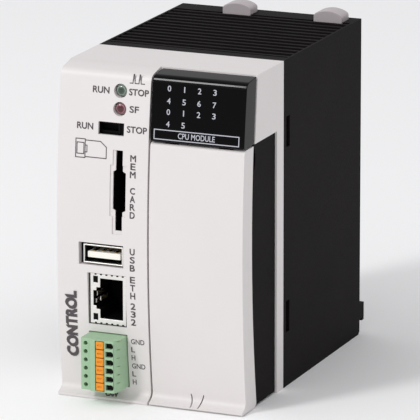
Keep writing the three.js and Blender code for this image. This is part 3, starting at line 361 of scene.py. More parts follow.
@dataclass(frozen=True)
class SolderResist:
    """A circuit board's resist, with the copper tracks under it standing out as lighter lines.

    Args:
        name: What the material is and how it was made.
        colour: sRGB hex of the resist over bare board.
        track: sRGB hex of the resist over copper.
        pitch_mm: Spacing of the tracks.
    """

    name: str
    colour: str
    track: str
    pitch_mm: float

    def build(self) -> Material:
        """Make the material."""
        made = Shading(self.name, ior=1.52, roughness=0.32)
        cells = add_node(
            made.tree,
            "ShaderNodeTexBrick",
            vector=made.place(rotation=(0.0, math.pi / 2, 0.0)),
            scale=1 / (10 * self.pitch_mm * MM),
            color1=linear(self.colour),
            color2=shaded(self.colour, 0.8),
            mortar=linear(self.track),
            mortar_size=0.018,
        )
        made.tree.links.new(cells.outputs["Color"], made.shader.inputs["Base Color"])
        made.bump(cells.outputs["Fac"], 0.4, 0.035 * MM)
        return made.material


@dataclass(frozen=True)
class Lens:
    """A tinted clear lens: dark chip cup in the middle; pale rings of painted light, for the light
    gathered in the dome, out to its rim.

    Args:
        name: What the lens is and how it was made.
        core: sRGB hex in the middle.
        body: sRGB hex half way out.
        painted_rim_light: sRGB hex of the painted light rings, at the edge and twice more inside.
        centre: The lens's middle.
        radius: The lens's radius, in metres.
    """

    name: str
    core: str
    body: str
    painted_rim_light: str
    centre: Point
    radius: float

    def build(self) -> Material:
        """Make the material."""
        made = Shading(
            self.name,
            ior=1.5,
            roughness=0.1,
            specular_ior_level=0.2,
            coat_weight=1.0,
            coat_roughness=0.18,
        )
        x, y, z = self.centre
        size = 1 / self.radius
        centred = made.place(location=(-x * size, 0.0, -z * size), scale=(size, 0.0, size))
        gradient = {"gradient_type": "SPHERICAL"}
        ball = add_node(made.tree, "ShaderNodeTexGradient", gradient, vector=centred)
        ramp = add_node(made.tree, "ShaderNodeValToRGB", fac=ball.outputs["Fac"])
        stops = ramp.color_ramp.elements
        # The pale rim and rings are painted light; the body stops between them are the tint.
        stops[0].position, stops[0].color = 0.02, linear(self.painted_rim_light)
        stops[1].position, stops[1].color = 0.72, linear(self.core)
        rings = ((0.17, self.painted_rim_light), (0.27, self.body), (0.34, self.painted_rim_light), (0.46, self.body))
        for position, colour in rings:
            stops.new(position).color = linear(colour)
        made.tree.links.new(ramp.outputs["Color"], made.shader.inputs["Base Color"])
        return made.material


@dataclass(frozen=True)
class Ink:
    """Pad-printed ink, which lies a little unevenly and dulls the plastic under it.

    Args:
        name: What the ink is and how it was put on.
        colour: sRGB hex.
        cover: How even the ink is, 0 to 1.
    """

    name: str
    colour: str
    cover: float

    SPECK_MM = 0.4

    def build(self) -> Material:
        """Make the material."""
        made = Shading(self.name, ior=1.5, roughness=0.6, specular_ior_level=0.3)
        specks = made.noise(made.place(), self.SPECK_MM, 4.0)
        made.tone(specks, self.colour, 2 - self.cover, self.cover)
        return made.material


class Finish(Enum):
    """Every finish on the module that isn't tied to one place."""

    # Satin light grey ABS: an even, soft sheen that hardly shows its fine grain.
    BEZEL = Moulded("abs_light_grey_satin", "E0DBDA", 0.44, 0.3, 0.12, 0.012, 0.4)
    # Spark-eroded black polycarbonate: a dull face with a dry, slightly mottled texture.
    CASE = Moulded("polycarbonate_black_eroded", "130F10", 0.62, 0.45, 0.5, 0.16, 0.06)
    # Polished smoke acrylic: near black, with sharp reflections and faint smears.
    WINDOW = Polished("acrylic_black_polished", "010102", 0.1, 0.12)
    # Grey acetal: waxy and a little darker in its hollows.
    LATCH = Moulded("acetal_grey_moulded", "B8AFB1", 0.42, 0.35, 0.2, 0.04, 0.45)
    # Green polyamide: soft sheen with pale flow marks from the glass fibre.
    PLUG = Moulded("polyamide_green_moulded", "A2C3A0", 0.45, 0.35, 0.25, 0.07, 0.35)
    # Orange polyamide: as the plug's, brighter and glossier.
    LEVER = Moulded("polyamide_orange_moulded", "F09A2C", 0.36, 0.3, 0.15, 0.08, 0.3)
    # Black glass-filled polyamide: dull, with greyish fibre marks.
    MOULDING = Moulded("polyamide_black_moulded", "080707", 0.6, 0.4, 0.35, 0.25, 0.1)
    # Grey polyamide of terminals and coil formers.
    GREY = Moulded("polyamide_grey_moulded", "5A5C5E", 0.5, 0.4, 0.3, 0.06)
    # White thermoplastic of the contact carrier: slightly warm and glossy.
    WHITE = Moulded("thermoplastic_white_moulded", "F6F3EA", 0.32, 0.3, 0.1, 0.02)
    # Glossy green resist over copper tracks.
    BOARD = SolderResist("solder_resist_green", "16512F", "2B7A48", 0.9)
    # Uncoated white card: flat, with paper fibre.
    CARD = Moulded("printed_card_uncoated", "F2F0EA", 0.85, 0.25, 0.35, 0.02, 0.2)
    # Blue heat-shrink film: glossy, with slight tension marks.
    SLEEVE = Moulded("shrink_film_blue", "2F6DA8", 0.24, 1.2, 0.12, 0.06)
    # Tinned sheet, bright and slightly warm, with rolling lines.
    TINNED = Metal("tinned_sheet_rolled", "F0EEEA", 0.34, 0.25)
    # Zinc-plated steel: cooler and duller.
    STEEL = Metal("zinc_plated_steel", "A9ADB0", 0.34, 0.2)
    # Gold flash over nickel on the contacts.
    GOLD = Metal("gold_flashed_contact", "E0B45A", 0.22, 0.15)
    # Grey pad print on the panel.
    PRINT = Ink("pad_print_grey", "544D50", 0.9)
    # Pale reverse print behind the display window.
    DIGITS = Ink("reverse_print_pale_grey", "B9BAC2", 0.92)


SLOT_FINISH = {
    "case_black": Finish.CASE,
    "bezel_light_grey": Finish.BEZEL,
    "window_black": Finish.WINDOW,
    "latch_grey": Finish.LATCH,
    "plug_green": Finish.PLUG,
    "lever_orange": Finish.LEVER,
    "board_green": Finish.BOARD,
    "moulding_black": Finish.MOULDING,
    "moulding_grey": Finish.GREY,
    "moulding_white": Finish.WHITE,
    "card_paper": Finish.CARD,
    "lens_green": Finish.WINDOW,
    "lens_red": Finish.WINDOW,
    "tinned_sheet": Finish.TINNED,
    "steel_plated": Finish.STEEL,
    "sleeve_blue": Finish.SLEEVE,
}


class Paints:
    """Makes each finish once and hands it out."""

    def __init__(self) -> None:
        self._made: dict[Finish, Material] = {}

    def get(self, finish: Finish) -> Material:
        """Give a finish's material.

        Args:
            finish: The wanted finish.

        Returns:
            Its material, made on first use.
        """
        if finish not in self._made:
            self._made[finish] = finish.value.build()
        return self._made[finish]


# ---- the module's own places


@dataclass
class Places:
    """Where things are on the module, in millimetres from its left side, front joint and base.

    Args:
        crown_z: Height of the front's foremost point.
        crown_radius: Radius of the front's curve.
        front_depth: Joint to the crown.
        joint_gap: Rear case behind the joint.
    """

    crown_z: float = 45.0
    crown_radius: float = 360.0
    front_depth: float = 31.0
    joint_gap: float = 0.2

    def __post_init__(self) -> None:
        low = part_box("rear_case")[0]
        self.left = low[0] / MM
        self.joint = low[1] / MM - self.joint_gap
        self.base = low[2] / MM

    def at(self, x: float, y: float, z: float) -> Point:
        """Turn a place on the module into scene metres.

        Args:
            x: From the left side.
            y: From the joint, towards the rack.
            z: From the base.

        Returns:
            The place in metres.
        """
        return ((self.left + x) * MM, (self.joint + y) * MM, (self.base + z) * MM)

    def front(self, z: float, ahead: float = 0.0) -> float:
        """Give the front curve's Y at a height.

        Args:
            z: Height above the base.
            ahead: How far ahead of the panel's curve.

        Returns:
            Y from the joint.
        """
        radius = self.crown_radius + ahead
        return self.crown_radius - self.front_depth - math.sqrt(radius**2 - (z - self.crown_z) ** 2)

    def lean(self, z: float) -> float:
        """Give the front's tilt about X at a height, in radians."""
        return math.asin((z - self.crown_z) / self.crown_radius)


# ---- modelling by hand


class Bench:
    """The few bench moves that every piece is made with."""

    BEVEL_FROM = math.radians(32)  # edges flatter than this stay as they are
    MERGE = 0.0015 * MM
    FLAT = math.radians(0.6)  # faces within this angle become one
    BLOCK_STEPS = 2  # across a block's edge

    @staticmethod
    def pick(*objects: Piece) -> None:
        """Select only the given objects; the first becomes active."""
        if bpy.context.object and bpy.context.object.mode != "OBJECT":
            bpy.ops.object.mode_set(mode="OBJECT")
        bpy.ops.object.select_all(action="DESELECT")
        for obj in objects:
            obj.select_set(True)
        bpy.context.view_layer.objects.active = objects[0] if objects else None

    @staticmethod
    def settle(obj: Piece) -> None:
        """Put an object's place, turn and size into its mesh."""
        Bench.pick(obj)
        bpy.ops.object.transform_apply(location=True, rotation=True, scale=True)

    @staticmethod
    def rounded(obj: Piece, width: float, segments: int = 2, smooth: float = 40.0) -> Piece:
        """Round an object's edges and smooth what is nearly flush.

        Args:
            obj: A mesh without doubles.
            width: Bevel width in millimetres.
            segments: Steps across the bevel.
            smooth: Angle below which faces shade as one.

        Returns:
            The same object.
        """
        Bench.pick(obj)
        bevel = obj.modifiers.new("edge_radius", "BEVEL")
        bevel.width = width * MM
        bevel.segments = segments
        bevel.limit_method = "ANGLE"
        bevel.angle_limit = Bench.BEVEL_FROM
        bevel.use_clamp_overlap = True
        bpy.ops.object.modifier_apply(modifier=bevel.name)
        bpy.ops.object.shade_smooth_by_angle(angle=math.radians(smooth))
        level = obj.modifiers.new("flat_faces_stay_flat", "WEIGHTED_NORMAL")
        level.keep_sharp = True
        bpy.ops.object.modifier_apply(modifier=level.name)
        return obj

    @staticmethod
    def copy_of(node: Piece, name: str) -> Piece:
        """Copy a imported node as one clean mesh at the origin.

        Args:
            node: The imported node.
            name: The copy's name.

        Returns:
            The copy, its triangles merged into flat faces.
        """
        Bench.pick(node)
        bpy.ops.object.duplicate(linked=False)
        copy = bpy.context.object
        copy.name = copy.data.name = name
        bpy.ops.object.parent_clear(type="CLEAR")
        for key in [k for k in copy.keys() if k.startswith("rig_")]:
            del copy[key]
        bpy.ops.object.mode_set(mode="EDIT")
        bpy.ops.mesh.select_all(action="SELECT")
        bpy.ops.mesh.remove_doubles(threshold=Bench.MERGE)
        bpy.ops.mesh.dissolve_limited(angle_limit=Bench.FLAT)
        bpy.ops.object.mode_set(mode="OBJECT")
        return copy

    @staticmethod
    def repeated(obj: Piece, steps: Iterable[Point]) -> Piece:
        """Copy an object by each step and join all into one piece.

        Args:
            obj: The first of the row.
            steps: Each copy's distance from it, in millimetres.

        Returns:
            The joined row.
        """
        row = [obj]
        for step in steps:
            Bench.pick(obj)
            bpy.ops.object.duplicate(linked=False)
            copy = bpy.context.object
            copy.location = tuple(s * MM for s in step)
            Bench.settle(copy)
            row.append(copy)
        Bench.pick(*row)
        bpy.ops.object.join()
        return bpy.context.object

    @staticmethod
    def joined(name: str, objects: list[Piece]) -> Piece:
        """Join objects into one named piece."""
        Bench.pick(*objects)
        bpy.ops.object.join()
        piece = bpy.context.object
        piece.name = piece.data.name = name
        return piece


@dataclass
class Workshop:
    """What every sub-assembly needs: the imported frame, places and finishes.

    Args:
        places: The module's places.
        paints: The finishes.
    """

    frame: dict
    places: Places
    paints: Paints

    def __post_init__(self) -> None:
        record = self.frame["record"]
        bodies = record["behaviour"]["bodies"]
        self.slots = {part["node"]: part["material_slot"] for part in record["subparts"]}
        self.bodies = {node: body for body, nodes in bodies.items() for node in nodes}

    def hand_over(
        self, piece: Piece, body: str, finish: Material, *stands_for: str
    ) -> Piece:
        """Dress a finished piece and let it ride.

        Args:
            piece: The finished piece.
            body: The body that it moves with.
            finish: Its material.
            *stands_for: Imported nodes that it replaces.

        Returns:
            The same piece.
        """
        piece.data.materials.clear()
        piece.data.materials.append(finish)
        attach(piece, body)
        if stands_for:
            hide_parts(*stands_for)
        LOG.info("%s rides on %s", piece.name, body)
        return piece


@dataclass
class Assembly:
    """A sub-assembly that is made in the workshop.

    Args:
        shop: The workshop.
    """

    shop: Workshop

    @property
    def places(self) -> Places:
        """The module's places."""
        return self.shop.places

    def paint(self, finish: Finish) -> Material:
        """Give a finish's material."""
        return self.shop.paints.get(finish)

    def block(self, name: str, x: Span, y: Span, z: Span, edge: float) -> Piece:
        """Make a block with rounded edges between two places on each axis.

        Args:
            name: The piece's name.
            x: From and to, in millimetres.
            y: The same along Y.
            z: The same along Z.
            edge: Edge radius in millimetres.

        Returns:
            The finished block.
        """
        Bench.pick()
        middle = self.places.at(sum(x) / 2, sum(y) / 2, sum(z) / 2)
        bpy.ops.mesh.primitive_cube_add(size=1, location=middle)
        obj = bpy.context.object
        obj.name = obj.data.name = name
        obj.scale = ((x[1] - x[0]) * MM, (y[1] - y[0]) * MM, (z[1] - z[0]) * MM)
        Bench.settle(obj)
        return Bench.rounded(obj, edge, Bench.BLOCK_STEPS)


# ---- sub-assemblies


@dataclass
class Mouldings(Assembly):
    """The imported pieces, with the edge radii that their moulds and press tools give.

    Args:
        radii: Edge radius in millimetres, bevel steps and the nodes that have them.
    """

    radii: tuple[tuple[float, int, str], ...] = (
        (0.6, 4, "display_window"),
        (0.5, 3, "module_latch_left module_latch_right power_transformer battery"),
        (0.5, 3, "capacitor_1 capacitor_2"),
        (0.35, 2, "door"),
        (0.3, 2, "front_bezel battery_holder"),
        (0.3, 3, "usb_tongue"),
        (0.25, 2, "rear_case terminal_carrier bus_connector battery_cover"),
        (0.2, 2, "terminal_header led_holder"),
        (0.2, 3, "can_lever_1 can_lever_2 can_lever_3 can_lever_4 can_lever_5 can_lever_6"),
        (0.15, 2, "can_plug can_header mode_switch_body card_socket terminal_block"),
        (0.15, 2, "terminal_screw_1 terminal_screw_2 display_light_mask processor"),
        (0.15, 2, "door_hinge_pin"),
        (0.12, 2, "mode_switch_lever usb_shell ethernet_shield ethernet_insert"),
    )

    def build(self) -> None:
        """Round and dress them all, and dress the nodes that keep their own mesh."""
        finish_of = {node: SLOT_FINISH[slot] for node, slot in self.shop.slots.items()}
        sizes = {node: size for *size, nodes in self.radii for node in nodes.split()}
        for node, (width, segments) in sizes.items():
            piece = Bench.copy_of(self.shop.frame["nodes"][node], f"{node}_rounded")
            Bench.rounded(piece, width, segments)
            self.shop.hand_over(piece, self.shop.bodies[node], self.paint(finish_of[node]), node)
        for name, obj in self.shop.frame["nodes"].items():
            if name not in sizes:
                obj.data.materials.clear()
                obj.data.materials.append(self.paint(finish_of[name]))
                LOG.info("%s dressed", name)


class Stand(Enum):
    """Which face a printed word lies on."""

    PANEL = "panel"
    WINDOW = "window"


@dataclass
class Printing(Assembly):
    """Words, digits and signs printed on the panel and behind the display window.

    Args:
        lift: Ink ahead of its surface, in millimetres.
        thickness: Thickness of the ink as modelled.
        cap: Height of the panel's capitals.
        line: Width of the printed lines.
        window_out: Display window ahead of the panel's curve.
        bold: How much wider a letter's strokes are than the typeface's.
        copies_apart: Height between a word's shifted copies, which make it bold.
        letter_width: Half a stacked letter's width, as a share of its height.
        digit_half: Half a display digit's width and height.
        lip: Y and backward tilt of the lip under the plug.
    """

    lift: float = 0.025
    thickness: float = 0.02
    cap: float = 2.0
    line: float = 0.28
    window_out: float = 0.5
    bold: float = 0.13
    copies_apart: float = 0.001
    letter_width: float = 0.46
    digit_half: Span = (0.55, 0.85)
    lip: Span = (-30.05, -math.radians(54))

    def height_of(self, z: float, stand: Stand) -> float:
        """Give the Y just ahead of a face at a height."""
        ahead = self.window_out if stand is Stand.WINDOW else 0.0
        return self.places.front(z, ahead) - self.lift

    def word(
        self,
        text: str,
        x: Span,
        z: Span,
        stand: Stand = Stand.PANEL,
        turned: bool = False,
        slope: Span | None = None,
        weight: float = 1.0,
    ) -> Piece:
        """Set a word so that it fills a box on the front.

        Args:
            text: What it says.
            x: From and to, in millimetres.
            z: From and to.
            stand: The face it lies on.
            turned: Whether it reads upwards.
            slope: Y and backward tilt in radians where the face isn't the front's curve.
            weight: Factor on how much the strokes are widened.

        Returns:
            The word as a mesh at its place.
        """
        Bench.pick()
        bpy.ops.object.text_add()
        obj = bpy.context.object
        obj.data.body = text
        obj.data.extrude = self.thickness / 2
        obj.data.resolution_u = 3
        bpy.ops.object.convert(target="MESH")
        obj = bpy.context.object
        if turned:
            obj.rotation_euler = (0, 0, math.pi / 2)
            Bench.settle(obj)
        corners = [Vector(corner) for corner in obj.bound_box]
        low = Vector([min(c[i] for c in corners) for i in range(3)])
        high = Vector([max(c[i] for c in corners) for i in range(3)])
        middle = (low + high) / 2
        obj.location = -middle
        Bench.settle(obj)
        bold = self.bold * weight
        wide, tall = x[1] - x[0] - bold, z[1] - z[0] - bold
        obj.scale = (wide * MM / (high.x - low.x), tall * MM / (high.y - low.y), MM)
        Bench.settle(obj)
        half, apart = bold / 2, self.copies_apart
        corners_of = [(half, half, apart), (-half, half, 2 * apart), (half, -half, 3 * apart)]
        obj = Bench.repeated(obj, corners_of)
        centre = sum(z) / 2
        y, tilt = slope or (self.height_of(centre, stand), -self.places.lean(centre))
        obj.rotation_euler = (math.pi / 2 + tilt, 0, 0)
        obj.location = self.places.at(sum(x) / 2, y, centre)
        Bench.settle(obj)
        return obj

    def stroke(self, start: Span, end: Span, stand: Stand = Stand.PANEL) -> Piece:
        """Draw a straight printed line on the front.

        Args:
            start: X and Z where it begins.
            end: X and Z where it ends.
            stand: The face it lies on.

        Returns:
            The line as a mesh at its place.
        """
        run, rise = end[0] - start[0], end[1] - start[1]
        x, z = (start[0] + end[0]) / 2, (start[1] + end[1]) / 2
        Bench.pick()
        bpy.ops.mesh.primitive_cube_add(size=1)
        obj = bpy.context.object
        length = math.hypot(run, rise) + self.line * 0.8
        obj.scale = (length * MM, self.line * MM, self.thickness * MM)
        Bench.settle(obj)
        Bench.rounded(obj, self.line * 0.2, 1)
        obj.rotation_euler = (0, 0, math.atan2(rise, run))
        Bench.settle(obj)
        obj.rotation_euler = (math.pi / 2 - self.places.lean(z), 0, 0)
        obj.location = self.places.at(x, self.height_of(z, stand), z)
        Bench.settle(obj)
        return obj

    def path(self, points: list[Span], stand: Stand = Stand.PANEL) -> list[Piece]:
        """Draw a line through points on the front."""
        return [self.stroke(a, b, stand) for a, b in zip(points, points[1:])]

    def stacked(self, text: str, x: float, top: float, pitch: float) -> list[Piece]:
        """Set upright letters one under another.

        Args:
            text: The letters; a space leaves a gap.
            x: Middle of the column.
            top: Height of the first letter's top.
            pitch: Letter to letter.

        Returns:
            The letters.
        """
        wide = {"M": 1.0}
        letters = []
        for row, letter in enumerate(text):
            if letter != " ":
                half = self.cap * self.letter_width * wide.get(letter, 0.88)
                high = top - row * pitch
                letters.append(self.word(letter, (x - half, x + half), (high - self.cap, high)))
        return letters

    def panel(self) -> Piece:
        """Print the connector panel.

        Returns:
            The printing as one piece.
        """
        half = self.cap / 2
        made = [
            self.word("RUN", (10.5, 15.8), (93.3 - half, 93.3 + half)),
            self.word("STOP", (22.0, 28.3), (93.4 - half, 93.4 + half)),
            self.word("SF", (22.4, 25.4), (88.4 - half, 88.4 + half)),
            self.word("RUN", (5.9, 11.1), (82.4 - half, 82.4 + half)),
            self.word("STOP", (21.8, 28.2), (82.5 - half, 82.5 + half)),
            self.word("CAN", (14.8, 18.6), (0.9, 3.0), slope=self.lip),
            self.word("CONTROL", (2.2, 6.1), (12.0, 32.5), turned=True, weight=4.0),
        ]
        made += self.stacked("MEM CARD", 24.1, 75.1, 2.41)
        made += self.stacked("USB", 24.1, 47.2, 2.45)
        made += self.stacked("ETH", 24.1, 38.7, 2.45)
        made += self.stacked("232", 24.1, 30.6, 2.45)
        for row, text in enumerate(("GND", "L", "H", "GND", "L", "H")):
            z = 18.7 - row * 2.54
            right = 27.4 if text == "GND" else 24.3
            made.append(self.word(text, (23.1, right), (z - 0.8, z + 0.8), weight=0.4))
        foot, crest = 96.0, 98.6
        made += self.path([(22.2, foot), (23.1, foot)])
        for start in (23.1, 25.0):
            up, down = start + 0.25, start + 0.45
            made += self.path([(start, foot), (up, crest), (down, crest), (start + 0.7, foot)])
        made += self.path([(23.8, foot), (25.0, foot)])
        made += self.path([(25.7, foot), (26.8, foot)])
        made += self.path([(8.7, 78.2), (13.6, 78.2), (15.5, 76.6), (15.5, 73.3), (8.7, 73.3)])
        made += self.path([(5.7, 73.0), (8.7, 73.0), (8.7, 78.5), (5.7, 78.5), (5.7, 73.0)])
        made += self.path([(6.1, 74.1), (8.3, 74.1), (8.3, 77.4), (6.1, 77.4), (6.1, 74.1)])
        made += self.path([(8.7, 74.7), (9.3, 74.7), (9.3, 76.7), (8.7, 76.7)])
        return Bench.joined("panel_printing", made)

    def display(self) -> Piece:
        """Print the display's digits and its label box.

        Returns:
            The printing as one piece.
        """
        made = []
        half_w, half_h = self.digit_half
        columns = (34.9, 39.7, 44.4, 49.2)
        rows = ((95.6, "0123"), (92.0, "4567"), (88.8, "0123"), (85.3, "45"))
        for z, digits in rows:
            for x, digit in zip(columns, digits):
                narrow = half_w * (0.3 if digit == "1" else 1.0)
                box = ((x - narrow, x + narrow), (z - half_h, z + half_h))
                made.append(self.word(digit, *box, Stand.WINDOW, weight=0.4))
        frame = [(30.7, 80.75), (57.3, 80.75), (57.3, 83.5), (30.7, 83.5), (30.7, 80.75)]
        made += self.path(frame, Stand.WINDOW)
        made.append(self.word("CPU MODULE", (38.2, 49.8), (81.3, 83.0), Stand.WINDOW, weight=0.4))
        return Bench.joined("display_printing", made)

    def build(self) -> None:
        """Print panel and display."""
        self.shop.hand_over(self.panel(), "root", self.paint(Finish.PRINT))
        self.shop.hand_over(self.display(), "root", self.paint(Finish.DIGITS))


@dataclass
class StatusLamps(Assembly):
    """The two status lamps with their tinted domes, whose pale rims and rings are painted light.

    Args:
        radius: Radius of the dome, in millimetres.
    """

    radius: float = 1.95

    def build(self) -> None:
        """Make both lenses."""
        # Core, tint and pale rim of each dome; the rim colour is painted light.
        tints_and_painted_rims = {
            "green": ("22362A", "485E50", "A5B3A9"),
            "red": ("3A0210", "6E1B2C", "AB8E93"),
        }
        for name, (core, body, painted_rim_light) in tints_and_painted_rims.items():
            node = f"status_led_{name}"
            low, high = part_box(node)
            centre = ((low[0] + high[0]) / 2, low[1], (low[2] + high[2]) / 2)
            piece = Bench.copy_of(self.shop.frame["nodes"][node], f"{node}_lens")
            Bench.pick(piece)
            bpy.ops.object.shade_smooth_by_angle(angle=math.radians(60))
            lens = Lens(f"epoxy_lens_{name}_cast", core, body, painted_rim_light, centre, self.radius * MM)
            self.shop.hand_over(piece, "root", lens.build(), node)


@dataclass
class Sockets(Assembly):
    """Contacts, gaskets and lamp windows of the USB and Ethernet sockets, and painted shade inside
    the USB shell, in millimetres.

    Args:
        usb_x: The USB shell's sides.
        usb_z: The USB shell's base and top.
        usb_wall: The shell's wall and a little air.
        blades_back: USB contacts behind the shell's mouth.
        tongue_half: Half the tongue's thickness.
        jack_x: The Ethernet shield's sides.
        jack_z: The Ethernet shield's base and top.
        jack_margin: Width of the gap on the shield's left.
        jack_mid_z: Middle of the network plug's way.
        jack_pitch: Contact to contact in the Ethernet socket.
        wire: Radius and length of a sprung contact wire.
        wire_lean: Its lean from straight ahead, in degrees.
        seal: Near and far side of the gasket from the shield.
        tooth_pitch: Tooth to tooth of the gasket.
        teeth: Teeth on each edge.
    """

    usb_x: Span = (8.2, 20.9)
    usb_z: Span = (41.4, 47.1)
    usb_wall: float = 0.45
    blades_back: float = 1.9
    tongue_half: float = 0.55
    jack_x: Span = (10.2, 21.6)
    jack_z: Span = (23.1, 38.3)
    jack_margin: float = 0.6
    jack_mid_z: float = 30.8
    jack_pitch: float = 1.02
    wire: Span = (0.23, 7.6)
    wire_lean: float = 28.0
    seal: Span = (0.06, 0.25)
    tooth_pitch: float = 1.75
    teeth: int = 6

    def usb_contacts(self) -> Piece:
        """Lay four plated blades on the tongue.

        Returns:
            The blades as one piece.
        """
        mid_z = sum(self.usb_z) / 2
        front = self.places.front(mid_z) + self.blades_back
        top, middle = mid_z + self.tongue_half, sum(self.usb_x) / 2
        x, y, z = (middle - 4.0, middle - 3.0), (front, front + 8), (top - 0.05, top + 0.12)
        first = self.block("usb_contacts", x, y, z, 0.05)
        return Bench.repeated(first, [(2.5, 0.6, 0), (4.5, 0.6, 0), (7.0, 0, 0)])

    def ethernet_contacts(self) -> Piece:
        """Set eight sprung wires that lean in from the right wall.

        Returns:
            The wires as one piece.
        """
        front = self.places.front(self.jack_z[0]) + 1.6
        low = self.jack_mid_z - 3.5 * self.jack_pitch
        radius, length = self.wire
        Bench.pick()
        bpy.ops.mesh.primitive_cylinder_add(vertices=10, radius=radius * MM, depth=length * MM)
        wire = bpy.context.object
        wire.name = wire.data.name = "ethernet_contacts"
        wire.rotation_euler = (math.pi / 2, 0, math.radians(self.wire_lean))
        wire.location = self.places.at(18.0, front + 4.4, low)
        Bench.settle(wire)
        Bench.rounded(wire, 0.08, 1, 60)
        return Bench.repeated(wire, [(0, 0, n * self.jack_pitch) for n in range(1, 8)])

    def lamp_windows(self) -> Piece:
        """Fill the shield's two lamp windows.

        Returns:
            Both lenses as one piece.
        """
        front = self.places.front(self.jack_z[0]) + 0.2
        y = (front + 0.06, front + 0.55)
        first = self.block("ethernet_lamps", (11.15, 12.55), y, (24.15, 26.05), 0.12)
        return Bench.repeated(first, [(0, 0, 11.4)])

    def gasket(self) -> Piece:
        """Fill the gap round the Ethernet shield with its dark conductive gasket.

        Returns:
            The four strips as one piece.
        """
        near, far = self.seal
        (x_low, x_high), (z_low, z_high) = self.jack_x, self.jack_z
        y = (self.places.front(z_low) + 0.6, self.places.front(z_high) + 1.9)
        left = (x_low - self.jack_margin + 0.05, x_low - near)
        right = (x_high + near, x_high + far)
        base, top = (z_low - far, z_low - near), (z_high + near, z_high + far)
        whole, tall = (left[0], right[1]), (base[0], top[1])
        strips = [
            self.block("gasket_left", left, y, tall, 0.05),
            self.block("gasket_right", right, y, tall, 0.05),
            self.block("gasket_base", whole, y, base, 0.05),
            self.block("gasket_top", whole, y, top, 0.05),
        ]
        return Bench.joined("ethernet_gasket", strips)

    def gasket_teeth(self) -> Piece:
        """Set the gasket's small folded teeth over the shield's top and base edges.

        Returns:
            The teeth as one piece.
        """
        base, top = self.jack_z
        low = self.places.front(base)
        x = (self.jack_x[0] + 1.4, self.jack_x[0] + 2.0)
        y, z = (low + 0.02, low + 0.5), (base + 0.02, base + 0.4)
        first = self.block("gasket_teeth", x, y, z, 0.08)
        row = [self.tooth_pitch * n for n in range(self.teeth)]
        rise = top - base - 0.42
        steps = [(step, 0, 0) for step in row[1:]] + [(step, 0, rise) for step in row]
        return Bench.repeated(first, steps)

    def spring_fingers(self) -> Piece:
        """Bend two earthing fingers in the way of the network plug's catch.

        Returns:
            The fingers as one piece.
        """
        front = self.places.front(self.jack_z[0]) + 1.4
        first = self.block("ethernet_fingers", (11.3, 11.6), (front, front + 5), (28.9, 30.3), 0.1)
        return Bench.repeated(first, [(0.9, 1.2, 0.4), (0.2, 0.3, 2.2)])

    def usb_shade(self) -> Piece:
        """Line the USB shell behind its mouth with black strips: painted shade for the dark inside
        of the shell.

        Returns:
            The three strips as one piece.
        """
        front = self.places.front(sum(self.usb_z) / 2) + 1.4
        y, thick = (front, front + 9), 0.12
        left, right = self.usb_x[0] + self.usb_wall, self.usb_x[1] - self.usb_wall
        low, high = self.usb_z[0] + self.usb_wall, self.usb_z[1] - self.usb_wall
        strips = [
            self.block("usb_shade_top", (left, right), y, (high - thick, high), 0.03),
            self.block("usb_shade_base", (left, right), y, (low, low + thick), 0.03),
            self.block("usb_shade_side", (left, left + thick), y, (low + 0.2, high - 0.2), 0.03),
        ]
        return Bench.joined("usb_shade", strips)

    def build(self) -> None:
        """Make the sockets' detail."""
        gold, black = self.paint(Finish.GOLD), self.paint(Finish.MOULDING)
        self.shop.hand_over(self.spring_fingers(), "root", self.paint(Finish.TINNED))
        self.shop.hand_over(self.gasket(), "root", black)
        self.shop.hand_over(self.gasket_teeth(), "root", black)
        # Black strips of painted shade inside the USB shell.
        self.shop.hand_over(self.usb_shade(), "root", black)
        self.shop.hand_over(self.usb_contacts(), "root", gold)
        self.shop.hand_over(self.ethernet_contacts(), "root", gold)
        self.shop.hand_over(self.lamp_windows(), "root", black)


@dataclass
class PlugClampShade(Assembly):
    """Black blocks at the wire clamps behind the bus plug's wire holes, in millimetres; their black
    is painted shade that keeps the holes dark.

    Args:
        poles: Number of clamps.
        pitch: Clamp to clamp.
        hole_x: Sides of a wire hole.
        half_height: Half a clamp's height.
        depth: Clamp behind the plug's face.
        length: Front to back of a clamp.
    """

    poles: int = 6
    pitch: float = 2.54
    hole_x: Span = (18.3, 20.45)
    half_height: float = 0.72
    depth: float = 0.6
    length: float = 3.0

    def build(self) -> None:
        """Make the clamps as black blocks of painted shade; they ride with the plug."""
        low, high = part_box("can_plug")
        face = low[1] / MM - self.places.joint + self.depth
        middle = (low[2] + high[2]) / 2 / MM - self.places.base
        z = middle - (self.poles - 1) / 2 * self.pitch
        heights = (z - self.half_height, z + self.half_height)
        first = self.block("plug_clamps", self.hole_x, (face, face + self.length), heights, 0.3)
        piece = Bench.repeated(first, [(0, 0, n * self.pitch) for n in range(1, self.poles)])
        # The black here is painted shade in the wire holes.
        self.shop.hand_over(piece, self.shop.bodies["can_plug"], self.paint(Finish.MOULDING))


